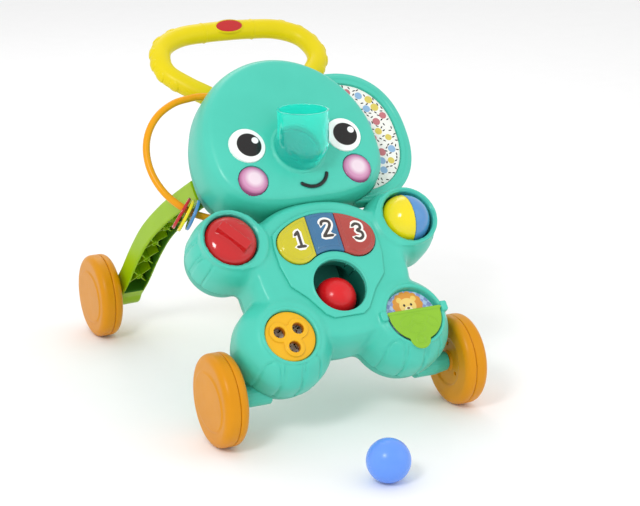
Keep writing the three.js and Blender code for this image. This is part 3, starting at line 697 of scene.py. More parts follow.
def body_shell(p):
    w = p[:, 2]
    form = body_outside(p)
    form = np.maximum(form, -(soft_union(torso_and_arms(p), legs(p), 5) + 2 * WALL))
    for u, v, bore, (cup_r, bottom, top), (rim_r, rim_half, rim_low), floor, ease in RECESSES:
        away = from_axis(p, u, v)
        form = np.minimum(form, slab(away - cup_r, w, bottom, top, 0.6))
        form = np.minimum(form, slab(np.abs(away - rim_r) - rim_half, w, rim_low, 33.2, 1.5))
        form = soft_cut(form, slab(away - bore, w, floor, 60), ease)
    for u, low, high in ((40, 71, 83), (120, 73, 85)):
        lug = np.maximum(np.abs(p[:, 0] - u) - 4, np.abs(p[:, 1] - (low + high) / 2) - 6)
        form = np.minimum(form, slab(lug, w, 20, 36.4, 1.4))
    form = soft_cut(form, np.maximum(from_axis(p, 0, HOLE_V) - HOLE_R, 10 - w), 0.8)
    keys = np.maximum(bean(p) - 0.6, 15 - w)
    form = soft_cut(form, keys, 0.5)
    form = np.maximum(form, -(head_form(p) - 1.1))
    return np.maximum(form, SPLIT_W - w)


def bean(p):
    """Flat distance to the three keys' common outline."""
    x, y = p[:, 0], p[:, 1] - KEY_V
    bearing = np.arctan2(x, y)
    mid = np.abs(np.hypot(x, y) - KEY_R)
    end_u, end_v = KEY_R * math.sin(KEY_SPREAD), KEY_R * math.cos(KEY_SPREAD)
    ends = np.hypot(np.abs(x) - end_u, y - end_v)
    return np.where(np.abs(bearing) < KEY_SPREAD, mid, ends) - KEY_HALF


def outline(p, points):
    """Flat signed distance to a closed outline."""
    q = p[:, :2]
    best, odd = np.full(len(q), 1e9), np.zeros(len(q), bool)
    for a, b in zip(points, np.roll(points, -1, 0)):
        d = b - a
        t = np.clip((q - a) @ d / (d @ d + 1e-12), 0, 1)
        best = np.minimum(best, np.hypot(*(q - a - t[:, None] * d).T))
        rises = (a[1] > q[:, 1]) != (b[1] > q[:, 1])
        cross = a[0] + (q[:, 1] - a[1]) * d[0] / (d[1] if d[1] else 1e-9)
        odd ^= rises & (q[:, 0] < cross)
    return np.where(odd, -best, best)


def belly_outline():
    side = [(19, 87), (28, 93), (43, 115), (60.5, 133), (66.5, 160), (67, 185)]
    arc = [(98 * math.sin(a), 126 + 98 * math.cos(a)) for a in np.linspace(0.72, 0, 12)]
    right = np.array(side + arc)
    left = right[::-1][1:] * (-1, 1)
    return np.vstack([right, left])


BELLY = belly_outline()


def belly_panel(p):
    form = slab(outline(p, BELLY), p[:, 2], 27.8, 31.4, 1.4)
    hole = from_axis(p, 0, HOLE_V)
    form = np.minimum(form, slab(np.abs(hole - 34.4) - 1.4, p[:, 2], 27.8, 32.2, 1.1))
    form = soft_cut(form, hole - HOLE_R, 0.8)
    return soft_cut(form, bean(p) - 0.7, 0.8)


def back_form(p):
    w = p[:, 2]
    depth = np.maximum(SPLIT_W - w, 0)
    pull = 0.9 * depth**2 / 22
    head = oval(p, HEAD) * HEAD["half_u"] - 115.5
    torso = oval(p, TORSO) * TORSO["half_u"] - 102.5
    form = soft_union(head, torso, 12)
    for _, side in SIDES:
        form = soft_union(form, from_axis(p, side * ARM_U, ARM_V) - 44.5, 10)
        form = soft_union(form, from_axis(p, side * LEG_U, LEG_V) - 56.5, 10)
    bowl = slab(form + pull * 0.25, w, -44, SPLIT_W - 0.4 + 8, 7)
    spine = np.sqrt(p[:, 0] ** 2 + np.maximum(np.abs(p[:, 1] - 215) - 64, 0) ** 2 + (w + 31) ** 2) - 36
    return soft_union(bowl, spine, 7)


BACK_SCREWS = [(-88, 330), (88, 330), (-60, 385), (60, 385), (-125, 200), (125, 200), (-95, 60), (95, 60)]


DOOR_U, DOOR_V, DOOR_HALF_U, DOOR_HALF_V = -69, 152, 23.2, 34.2
SOUND_U, SOUND_V, SOUND_R, SLOT_PITCH = 62, 300, 22, 6


def back_shell(p):
    w = p[:, 2]
    form = back_form(p)
    door = np.maximum(np.abs(p[:, 0] - DOOR_U) - DOOR_HALF_U, np.abs(p[:, 1] - DOOR_V) - DOOR_HALF_V)
    form = soft_cut(form, np.maximum(door, w + 42), 0.5)
    sound = from_axis(p, SOUND_U, SOUND_V)
    slots = np.abs((p[:, 1] - SOUND_V + 24) % SLOT_PITCH - SLOT_PITCH / 2) - 1.1
    form = soft_cut(form, np.maximum(np.maximum(slots, sound - SOUND_R), w + 41), 0.6)
    for u, v in BACK_SCREWS:
        form = soft_cut(form, np.maximum(from_axis(p, u, v) - 4.2, w + 40), 0.6)
    return np.maximum(form, w - (SPLIT_W - 0.4))


def ear_away(p):
    """Rough distance outside the ear's outline, in mm."""
    return (oval(p, EAR) - 1) * EAR_MEAN_R


def ear_shell(p):
    away, w = ear_away(p), p[:, 2]
    form = slab(away, w, -20, 0, 3.2)
    form = np.minimum(form, slab(np.abs(away + 6.5) - 2.6, w, -8, 1.3, 1.9))
    form = soft_cut(form, slab(away + 14.5, w, -4, 40), 1.0)
    form = np.maximum(form, -(head_form(p) - 0.4))
    return np.maximum(form, 68 - p[:, 0])


def ear_label(p):
    form = slab(ear_away(p) + 15.3, p[:, 2], -3.7, -2.7, 0.3)
    form = np.maximum(form, -(head_form(p) - 0.9))
    return np.maximum(form, 69 - p[:, 0])


CHUTE_TURNS = [(305.2, 24.6), (305.2, 8), (298, -12), (280, -24.5), (252, -29), (205, -29), (176, -26)]
CHUTE_LINE = smooth_line([(0, v, w) for v, w in CHUTE_TURNS + [(154, -16), (136, -2)]], 3)


def chute(p):
    w = p[:, 2]
    gap, _ = along(p, CHUTE_LINE)
    pocket = from_axis(p, 0, HOLE_V)
    outside = np.minimum(gap - 31, slab(pocket - 34.2, w, -20.4, 27.2, 0.8))
    bore = np.minimum(gap - 28.8, np.maximum(pocket - 32.2, -18.6 - w))
    form = np.maximum(outside, -bore)
    return np.maximum(form, w - 27.2)


UPWARDS = np.array([0, COS, SIN])
TRUNK_LINE = np.array([(0, TRUNK_V, 30), (0, TRUNK_V, 54.3), (0, TRUNK_V + 38.7 * COS, 54.3 + 38.7 * SIN)])


def trunk(p):
    gap, _ = along(p, np.vstack([TRUNK_LINE[:2], TRUNK_LINE[2:] + 60 * UPWARDS]))
    tip = (p - TRUNK_LINE[2]) @ UPWARDS
    tip_lip = np.maximum(np.abs(tip + 1.6) - 1.6, gap - 31.0)
    foot = slab(from_axis(p, 0, TRUNK_V) - 31.0, p[:, 2], 37, 40.5, 1.0)
    form = soft_union(np.minimum(gap - 30.9, foot), tip_lip, 0.8)
    form = soft_cut(form, gap - 28.4, 0.5)
    return np.maximum(np.maximum(form, tip), 37.2 - p[:, 2])


# Name, slot, the node it replaces, field, box corners, cell and finish.
SHELLS = (
    ("head_shell", "teal_shell", "head_front_shell", head_shell, (-120, 233, -24), (120, 445, 42), 1.7, TEAL),
    ("body_shell", "teal_shell", "body_front_shell", body_shell, (-162, 14, -25), (162, 250, 40), 1.8, TEAL),
    # The back cover: painted shade, darker than the front shells.
    ("back_cover", "teal_shell", "back_shell", back_shell, (-162, 14, -72), (162, 445, -20), 2.2, TEAL_BACK_PAINTED_SHADE),
    ("belly_plate", "teal_shell", "belly_panel", belly_panel, (-70, 84, 26), (70, 227, 34), 1.0, TEAL),
    ("ear_moulding", "teal_shell", "ear_shell", ear_shell, (66, 236, -22), (174, 425, 4), 1.2, TEAL),
    ("ear_print", "paper_label", "ear_label", ear_label, (67, 240, -5), (170, 420, -1), 0.6, WHITE),
    # The ball's run: painted shade, with a painted light patch round the trunk.
    ("ball_run", "teal_inner", "ball_chute", chute, (-36, 88, -62), (36, 342, 29), 1.6, TEAL_RUN_PAINTED_SHADE),
    # The trunk tube carries a faint painted glow.
    ("trunk_clear_tube", "clear_teal", "trunk_tube", trunk, (-33, 270, 35), (33, 365, 118), 0.9, CLEAR_TEAL_PAINTED_GLOW),
)


def build_shells():
    for name, slot_name, node, field, low, high, cell, finish in SHELLS:
        piece(name, "frame", [node], [on_row(skin(field, low, high, cell), finish)])


# --- face
def build_face():
    for name, side in SIDES:
        u, v = side * EYE_U, EYE_V
        print_of = printed(
            f"vinyl_eye_{name}_printed",
            "#fbfbf8",
            [(u + 2, v, 15.5, 15.5, "#1d1a1a"), (u + 11, v + 5, 4.2, 4.2, "#ffffff")],
            rough=0.18,
        )
        dome = turned([(0, 31.5), (22, 31.5), (22, 36.6), (21.2, 37.7), (12, 38.1), (0, 38.2)], 96, 3)
        piece(f"eye_{name}_print", "frame", [f"eye_{name}"], [on_row(dome, print_of, u, v)])
        u, v = side * CHEEK_U, CHEEK_V
        rim = printed(
            f"pmma_cheek_{name}_moulded",
            "#8e2f6a",
            [(u, v, 16.4, 16.4, "#cf94b8"), (u + 1, v + 1, 10, 10, "#ecd6e2")],
            rough=0.1,
            edge=3.0,
        )
        lens = turned([(0, 27), (18, 27), (18, 34), (16.6, 35.6), (10, 37), (0, 37.4)], 80, 4)
        node = f"cheek_lens_{name}"
        piece(f"cheek_{name}_lens", "frame", [node], [on_row(lens, rim, u, v)])
    angles = np.radians(np.linspace(-137, -12, 40))
    line = np.stack([5 + 22 * np.cos(angles), 275 + 22 * np.sin(angles), 0 * angles + 36.4], 1)
    smile = swept(line, round_ends(2.3, 48, 1.5), 18)
    piece("mouth_line", "frame", ["mouth_inlay"], [on_row(smile, INK)])


# --- keys and their digits
DIGITS = {
    1: [[(-4.2, 5.6), (0.6, 9.6), (0.6, -9.6)], [(-4.6, -9.6), (5.6, -9.6)]],
    2: [[(-5.6, 5.2), (-4, 8.8), (0, 10), (4.6, 8.4), (5.6, 4.6), (3.2, 0.2), (-5.8, -9.6), (6, -9.6)]],
    3: [
        [(-5, 7.6), (-0.6, 10), (4.2, 8), (4.4, 3.6), (0, 1), (4.8, -2), (5.2, -7), (0.6, -10), (-5.2, -7.8)]
    ],
}
SHARP_DIGIT_ENDS = {2: 2}
KEY_CENTRES = {1: (-35, 188), 2: (3, 197), 3: (41, 188)}
KEY_FINISHES = {
    1: ("key_yellow", "#e6dc1e", "#c9bd10"),
    2: ("key_blue", "#4f8fb8", "#2b6796"),
    3: ("key_red", "#cc5a50", "#ab342c"),
}


def light_key(name, colour, deep):
    """Translucent key over a light: a fine halftone grid shows through the clear top."""
    made = moulded(name, colour, deep, 0.16, grain=0.0, Coat_Weight=0.5, Transmission_Weight=0.12)
    tree, shader, spot, ink = parts_of(made)
    # The real grid is about 0.9 mm; drawn at 1.5 mm so that it shows.
    cells = {"Vector": spot, "Scale": 1 / 1.5, "Randomness": 0.0}
    grid = add(tree, "ShaderNodeTexVoronoi", cells, feature="F1", distance="CHEBYCHEV")
    fade = {"Value": grid.outputs["Distance"], "From Min": 0.28, "From Max": 0.5}
    level = add(tree, "ShaderNodeMapRange", fade)
    tree.links.new(blend(tree, level.outputs[0], ink, linear(deep)), shader.inputs["Base Color"])
    return made


# Each digit is laid down twice: half width, height and ink of its outline, then of its stroke.
STROKES = ((4.4, 35.66, WHITE), (1.85, 35.82, DIGIT))
STROKE_STEP, STROKE_RISE = 0.7, 0.16


def build_keys():
    for number, (u, v) in KEY_CENTRES.items():
        low = (-75, -KEY_SPLIT + 0.2, KEY_SPLIT + 0.2)[number - 1]
        high = (-KEY_SPLIT - 0.2, KEY_SPLIT - 0.2, 75)[number - 1]

        def key(p, low=low, high=high):
            flat = np.maximum(bean(p) + 0.2, np.maximum(low - p[:, 0], p[:, 0] - high))
            skirt = slab(flat, p[:, 2], 20, 34.2, 1.6)
            return soft_union(skirt, slab(flat + 4.4, p[:, 2], 26, 35.6, 1.2), 0.8)

        left = low - 2 if number > 1 else -66
        points, quads = skin(key, (left, 148, 18), (min(high + 2, 66), 222, 38), 1.0)
        slot_name, colour, deep = KEY_FINISHES[number]
        chunks = [(to_row(points), quads, light_key(f"pc_{slot_name}_clear_moulded", colour, deep))]
        for half, top, ink in STROKES:
            for stroke in DIGITS[number]:
                line = np.array(stroke, float)
                if len(line) > 3:
                    keep = len(line) - SHARP_DIGIT_ENDS.get(number, 0)
                    line = np.vstack([smooth_line(line[:keep], 6), line[keep:]])
                fine = [line[0]]
                for a, b in zip(line, line[1:]):
                    steps = max(int(np.hypot(*(b - a)) / STROKE_STEP), 1)
                    fine += [a + (b - a) * (k + 1) / steps for k in range(steps)]
                fine = np.array(fine)
                length = np.hypot(*np.diff(fine, axis=0).T).sum()
                ends = np.stack([fine[0] - fine[1], fine[-1] - fine[-2]])
                ends = ends / np.hypot(*ends.T)[:, None] * half * 0.9
                fine = np.vstack([fine[0] + ends[0], fine, fine[-1] + ends[1]])
                line3 = np.column_stack([fine + (u, v), np.full(len(fine), top)])
                bar = swept(line3, round_ends(half, length + 1.8 * half, STROKE_RISE), 14)
                chunks.append(on_row(bar, ink))
        piece(f"light_key_{number}", f"key_{number}_body", [f"key_{number}"], chunks)


# --- knob, roller, spinner, flap and labels
def build_knob():
    u, v = -SOCKET_U, SOCKET_V
    turn = math.radians(-50)

    def knob(p):
        x, y, w = p[:, 0] - u, p[:, 1] - v, p[:, 2]
        dome = np.maximum(KNOB_EDGE(np.hypot(x, y), w), -11 - w)
        a = x * math.cos(turn) + y * math.sin(turn)
        b = -x * math.sin(turn) + y * math.cos(turn)
        bar = slab(np.maximum(np.abs(a) - 21, np.abs(b) - 7.6 + 0.2 * (w - 38)), w, 20, 45.9, 1.0)
        return soft_union(dome, bar, 1.0)

    form = skin(knob, (u - 34, v - 34, -13), (u + 34, v + 34, 48), 1.1)
    piece("knob_red_dome", "knob_body", ["twist_knob"], [on_row(form, RED)])


def build_roller():
    u, v = SOCKET_U, SOCKET_V
    halves = (("yellow", -1, YELLOW_GLOSS, "yellow_gloss"), ("blue", 1, BLUE_GLOSS, "blue_gloss"))
    for colour, side, finish, slot_name in halves:

        def half(p, side=side):
            ball = np.sqrt((p[:, 0] - u) ** 2 + (p[:, 1] - v) ** 2 + (p[:, 2] - ROLLER_W) ** 2) - ROLLER_R
            return soft_cut(ball, side * (p[:, 0] - u) - 0.15, 0.7)

        form = skin(half, (u - 33, v - 33, -15), (u + 33, v + 33, 51), 1.1)
        node = f"roller_half_{colour}"
        piece(f"roller_{colour}_cup", "roller_body", [node], [on_row(form, finish)])


FINGER_RING_R, FINGER_R = 13.8, 6.7


def build_spinner():
    turns = np.radians([34, 154, 274])
    arms = [(FINGER_RING_R * math.cos(a), FINGER_RING_R * math.sin(a)) for a in turns]
    holes = [(SPINNER_U + u, SPINNER_V + v) for u, v in arms]

    def spinner(p):
        w = p[:, 2]
        form = slab(from_axis(p, SPINNER_U, SPINNER_V) - 30.8, w, 24, 29.5, 1.6)
        trefoil = np.full(len(p), 1e9)
        for hu, hv in holes:
            trefoil = soft_union(trefoil, from_axis(p, hu, hv) - 12.4, 4)
        form = np.minimum(form, slab(np.abs(trefoil + 1.3) - 1.3, w, 27, 31.6, 1.0))
        for hu, hv in holes:
            form = np.minimum(form, slab(np.abs(from_axis(p, hu, hv) - 8.6) - 1.6, w, 24, 32, 1.2))
            form = soft_cut(form, from_axis(p, hu, hv) - FINGER_R, 0.6)
        return form

    points, quads = skin(spinner, (-113, 40, 22), (-46, 107, 34), 0.8)
    # The faces round each finger hole's bore are its walls, which get the painted shade.
    middles = points[quads].mean(1)
    walls = np.min([from_axis(middles, hu, hv) for hu, hv in holes], 0) < 7.0
    name = "spinner_disc"
    chunks = [on_row((points, quads), SPIN)]
    disc = piece(name + "_moulding", "spinner_body", [name], chunks)
    disc.data.materials.append(SPIN_PAINTED_SHADE)
    disc.data.polygons.foreach_set("material_index", walls.astype(int))


def build_flap():
    def flap(p):
        x, y, w = p[:, 0], p[:, 1], p[:, 2]
        sheet = np.maximum(from_axis(p, 80, 75) - 33.9, y - 79)
        sheet = np.minimum(sheet, from_axis(p, 77, 44) - 13)
        form = slab(sheet, w, 32.5, 34.6, 0.9)
        bar = np.hypot(np.maximum(np.abs(x - 80) - 33.4, 0), np.hypot(y - 78.6, w - 34)) - 2.3
        form = soft_union(form, bar, 0.8)
        for cu, cv, tilt in ((64, 66, 0.5), (84, 68, -0.2), (98, 62, -0.7), (76, 56, 0.1)):
            a = (x - cu) * math.cos(tilt) + (y - cv) * math.sin(tilt)
            b = -(x - cu) * math.sin(tilt) + (y - cv) * math.cos(tilt)
            leaf = (np.sqrt((a / 10.5) ** 2 + (b / 5.2) ** 2) - 1) * 5.2
            form = np.minimum(form, slab(np.abs(leaf) - 0.6, w, 33.5, 35.2, 0.5))
        return np.minimum(form, slab(np.abs(from_axis(p, 77, 42) - 5.5) - 0.8, w, 33.5, 35.4, 0.6))

    form = skin(flap, (42, 28, 30), (118, 84, 38), 0.75)
    piece("flap_leaf_moulding", "flap_body", ["flap"], [on_row(form, FLAP_GREEN)])


def build_labels():
    """The two flat labels: an animal face of this toy's own, and the spinner's ground."""
    mane, ear, dark, nose = "#e59a3c", "#f6cf6a", "#2c2320", "#7a4528"
    fu, fv = 80, 90
    face = [
        (fu + 15.5 * math.cos(a), fv + 13.5 * math.sin(a), 4.6, 4.6, mane)
        for a in np.arange(14) * 2 * math.pi / 14
    ]
    face += [(fu, fv, 15.4, 13.6, mane)]
    face += [(fu - 9.4, fv + 7.6, 3.6, 3.6, ear), (fu + 9.4, fv + 7.6, 3.6, 3.6, ear)]
    face += [(fu, fv - 0.6, 11, 10, "#f8d67c"), (fu, fv - 5.2, 5.2, 3.9, "#fdeec2")]
    face += [(fu - 4.6, fv + 0.6, 1.5, 1.7, dark), (fu + 4.6, fv + 0.6, 1.5, 1.7, dark)]
    face += [(fu, fv - 3.4, 2.0, 1.35, nose), (fu, fv - 6.9, 1.9, 0.5, nose)]
    ground = printed("paper_peekaboo_printed", "#8f9fd8", face, 0.35, checks=(5.2, "#b4cdf0", 0.6), edge=0.2)
    disc = turned([(0, 22.9), (33.3, 22.9), (33.4, 23.3), (33.3, 23.7), (0, 23.7)], 96, 0)
    chunk = on_row(disc, ground, WINDOW_U, WINDOW_V)
    piece("peekaboo_print", "frame", ["peekaboo_picture"], [chunk])
    disc = turned([(0, 12.4), (30.9, 12.4), (31, 12.8), (30.9, 13.2), (0, 13.2)], 96, 0)
    chunk = on_row(disc, WHITE, SPINNER_U, SPINNER_V)
    piece("spinner_print", "frame", ["spinner_label"], [chunk])


# --- prints: speckles and spots
# How far each print stands in from the ear's edge and the head, and how far apart its marks keep, in mm.
SPOT_IN, SPOT_OFF_HEAD, SPOT_GAP = 21, 6, 11.5
DASH_IN, DASH_OFF_HEAD, DASH_GAP, DASH_TO_SPOT = 17, 2, 4.7, 6
EAR_PRINT_W, EAR_TEST_W = -2.72, -3.0
FLECKS, FLECK_REACH, FLECK_W = 190, 30, 13.2


def build_prints():
    rng = np.random.RandomState(7)
    dash = turned([(0, 0), (0.5, 0), (0.5, 0.1), (0, 0.1)], 8, 0)
    dot = turned([(0, 0), (1, 0), (1, 0.1), (0, 0.1)], 40, 0)
    maroon = moulded("vinyl_maroon_ink_printed", "#8c2c33", "#7c242b", 0.4, grain=0.02)
    spots, taken = [], []
    for u, v in rng.uniform((96, 246), (168, 414), (900, 2)):
        p = np.array([[u, v, EAR_TEST_W]])
        if ear_away(p)[0] > -SPOT_IN or head_form(p)[0] < SPOT_OFF_HEAD:
            continue
        if any(math.hypot(u - a, v - b) < SPOT_GAP for a, b in taken):
            continue
        taken.append((u, v))
        spots.append((on(u, v, EAR_PRINT_W), (rng.uniform(4.4, 5.4),) * 2 + (1,)))
    for k, (name, colour) in enumerate((("blue", "#8fb4d8"), ("yellow", "#dcc860"), ("red", "#c4737a"))):
        ink = moulded(f"vinyl_{name}_spot_printed", colour, colour, 0.4, grain=0.02)
        repeated(f"ear_spots_{name}", "frame", dot, spots[k::3], ink)
    marks = []
    for u, v in rng.uniform((80, 244), (168, 416), (2600, 2)):
        p = np.array([[u, v, EAR_TEST_W]])
        if ear_away(p)[0] > -DASH_IN or head_form(p)[0] < DASH_OFF_HEAD:
            continue
        if any(math.hypot(u - a, v - b) < DASH_TO_SPOT for a, b in taken):
            continue
        if any(math.hypot(u - a, v - b) < DASH_GAP for a, b in (m[2] for m in marks)):
            continue
        marks.append((on(u, v, EAR_PRINT_W, rng.uniform(0, math.pi)), (4.4, 1.7, 1), (u, v)))
    repeated("ear_dashes", "frame", dash, [m[:2] for m in marks], INK)
    flecks = []
    for _ in range(FLECKS):
        r, a = FLECK_REACH * math.sqrt(rng.uniform()), rng.uniform(0, 2 * math.pi)
        u, v = SPINNER_U + r * math.cos(a), SPINNER_V + r * math.sin(a)
        where = on(u, v, FLECK_W, rng.uniform(0, 3))
        flecks.append((where, (rng.uniform(1.5, 3.4), rng.uniform(0.9, 2), 1)))
    repeated("spinner_flecks_maroon", "frame", dash, flecks[::2], maroon)
    repeated("spinner_flecks_black", "frame", dash, flecks[1::2], INK)


# --- handle, wire and charms
HANDLE_HALF = [
    (45, 388, -29),
    (56, 416, -31),
    (83, 440, -34.5),
    (102, 462, -39.5),
    (105, 484, -44.5),
    (94, 508, -51),
    (66, 523, -55),
    (30, 527, -56),
]


HANDLE_SECTION = (13, 12)
HANDLE_MIDDLE_V = 460
SLEEVE_AT = 62
PADS_AT = (22, 28, 34, 40, 46, 52)
PAD_FOOT = 12.2
SIDEWAYS = (0, 0.2, 1)


def build_handle():
    whole = HANDLE_HALF + [(0, 527.5, -56)] + [(-u, v, w) for u, v, w in HANDLE_HALF[::-1]]
    line = smooth_line(whole, 9)
    bar = swept(line, lambda t: HANDLE_SECTION, 40, SIDEWAYS)
    sleeves = []
    for place in (SLEEVE_AT, len(line) - 1 - SLEEVE_AT):
        near = line[place - 3 : place + 4]
        sleeves.append(swept(near, round_ends(14.2, 22, 13.2), 40, SIDEWAYS))
    chunks = [on_row(form, YELLOW) for form in [bar] + sleeves]
    piece("handle_bar", "frame", ["handle"], chunks)
    pad = turned([(0, -7), (7.4, -7), (7.4, -1.2), (6.6, 0.9), (4.6, 1.8), (0, 2.1)], 40, 4)
    shaped = pad[0] * (1.25, 1, 1)
    shaped[:, 2] -= shaped[:, 0] ** 2 / 24
    spots = []
    ahead = np.gradient(line, axis=0)
    for k in PADS_AT:
        for place in (k, len(line) - 1 - k):
            way = Vector(ahead[place]).normalized()
            outward = Vector((line[place][0], (line[place][1] - HANDLE_MIDDLE_V) * 0.9, 0))
            outward = (outward - way * outward.dot(way)).normalized()
            across = way.cross(outward)
            turn = Matrix((across, way, outward)).transposed().to_4x4()
            foot = Vector(line[place]) + outward * PAD_FOOT
            spots.append((PANEL @ Matrix.Translation(foot * MM) @ turn, (1, 1, 1)))
    repeated("handle_grip_ribs", "frame", (shaped, pad[1]), spots, YELLOW)
    badge = turned([(0, -2), (1, -2), (1, -0.6), (0.93, 0.2), (0.6, 0.5), (0, 0.55)], 72, 3)
    rim = turned([(0, -2), (1.12, -2), (1.12, -0.5), (1.04, 0.3), (0.97, -0.2), (0, -0.4)], 72, 3)
    chunks = []
    for form, finish in ((badge, RED), (rim, YELLOW)):
        stretched = form[0] * (18, 8.6, 1) + (0, 527.5, -43.8)
        chunks.append(on_row((stretched, form[1]), finish))
    piece("handle_plain_badge", "frame", ["handle_badge"], chunks)


def ring_point(a):
    return (RING_U + RING_R * math.cos(a), RING_V + RING_R * math.sin(a), RING_W)


def wire_line():
    start = [(-70, 410, -8), (-82, 413, -12), (-92, 413.6, -14), (-116.7, 409.5, -16)]
    start += [(-139.7, 396.8, -20), (-155.8, 376.8, -25), (-163.2, 351.7, -30), (-161.7, 324.2, -33)]
    ring = [ring_point(a) for a in np.radians([210, 230, 245, 258])]
    return smooth_line(start + ring + [(-80, 256, -33.5), (-64, 258, -32)], 10)


# Name, place on the ring in degrees, radius, finish and slot.
CHARMS = (
    ("red", 228.3, 21, RED, "red_gloss"),
    ("yellow", 232.3, 21, YELLOW_GLOSS, "yellow_gloss"),
    ("blue", 237, 19.5, BLUE_GLOSS, "charm_blue_plastic"),
)


CHARM_HALF, CHARM_HOLE_R, WIRE_R = 1.95, 5.6, 4.4


def build_wire():
    line = wire_line()
    bar = swept(line, lambda t: (WIRE_R, WIRE_R), 24, (0, 0, 1))
    piece("wire_loop_bar", "frame", ["wire_loop"], [on_row(bar, ORANGE)])
    for name, degrees, radius, finish, slot_name in CHARMS:
        low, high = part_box(f"charm_{name}")
        a = math.radians(degrees)
        hang = to_row([ring_point(a)])[0]
        tangent = PANEL.to_3x3() @ Vector((-math.sin(a), math.cos(a), 0))
        down = Vector((0, 0, -1))
        down = (down - tangent * down.dot(tangent)).normalized()
        side = tangent.cross(down)
        centre = (low + high) / 2
        frame_of = Matrix((side, down, tangent)).transposed().to_4x4()
        hole_at = frame_of.inverted().to_3x3() @ (Vector(hang) - centre) * 1000

        def charm(p, hole_at=hole_at, radius=radius):
            away = np.hypot(p[:, 0], p[:, 1])
            form = slab(away - radius + 0.05, p[:, 2], -CHARM_HALF, CHARM_HALF, 1.1)
            form = np.minimum(form, slab(np.abs(away - radius + 2.4) - 1.2, p[:, 2], -1.98, 1.98, 0.5))
            return soft_cut(form, np.hypot(p[:, 0] - hole_at.x, p[:, 1] - hole_at.y) - CHARM_HOLE_R, 0.8)

        edge = radius + 2
        points, quads = skin(charm, (-edge, -edge, -3), (edge, edge, 3), 0.8)
        place = Matrix.Translation(centre) @ frame_of
        p = upright(points) @ np.array(place)[:3, :3].T + np.array(place)[:3, 3]
        node = f"charm_{name}"
        piece(f"{node}_disc", f"{node}_body", [node], [(p, quads, finish)])


# --- rear legs
LEG_LINE = smooth_line(
    [(424, 52), (391, 85), (358, 125), (320, 164), (270, 201), (226, 228), (178, 255), (150, 270)], 4
) - (138.7, 0)
TOE_IN = math.radians(5)


def leg_place(points, side):
    """A straight leg's points turned to its toe-in, on its own side."""
    p = np.array(points, float)
    x, y = p[:, 0] - LEG_HEAD_X, p[:, 1] - REAR_WHEEL_Y
    turned_x = x * math.cos(TOE_IN) + y * math.sin(TOE_IN)
    turned_y = -x * math.sin(TOE_IN) + y * math.cos(TOE_IN)
    return np.stack([side * (LEG_HEAD_X + turned_x), REAR_WHEEL_Y + turned_y, p[:, 2]], 1)


def leg_lie(p):
    """Distance from the leg's centreline, along it, and across it with a sign, front positive."""
    flat = np.column_stack([p[:, 1], p[:, 2]])
    gap, run = along(flat, LEG_LINE)
    ahead = np.gradient(LEG_LINE, axis=0)
    spine, ways = LEG_LINE[::4], ahead[::4]
    near = np.argmin(((flat[:, None] - spine[None]) ** 2).sum(2), 1)
    off, way = flat - spine[near], ways[near]
    side = off[:, 0] * way[:, 1] - off[:, 1] * way[:, 0]
    return gap, run, np.where(side < 0, 1, -1) * gap


LEG_HALF = 13
CHANNEL_FROM, CHANNEL_TO = 0.08, 0.86
LATTICE = 6


def rear_leg(p):
    gap, run, across = leg_lie(p)
    x = p[:, 0]
    outer = slab(gap - LEG_HALF, x, 100, LEG_HEAD_X, 2.6)
    length = np.hypot(*np.diff(LEG_LINE, axis=0).T).sum()
    window = np.maximum(CHANNEL_FROM * length - run, run - CHANNEL_TO * length)
    hollow = np.maximum(np.abs(x - LEG_X) - 14, np.maximum(-10.0 - across, window))
    form = soft_cut(outer, hollow, 0.8)
    axle = np.hypot(p[:, 1] - REAR_WHEEL_Y, p[:, 2] - WHEEL_Z)
    form = soft_union(form, slab(axle - 17.9, x, 100.5, 133.5, 2), 2)
    return soft_cut(form, axle - AXLE_HOLE_R, 0.4)


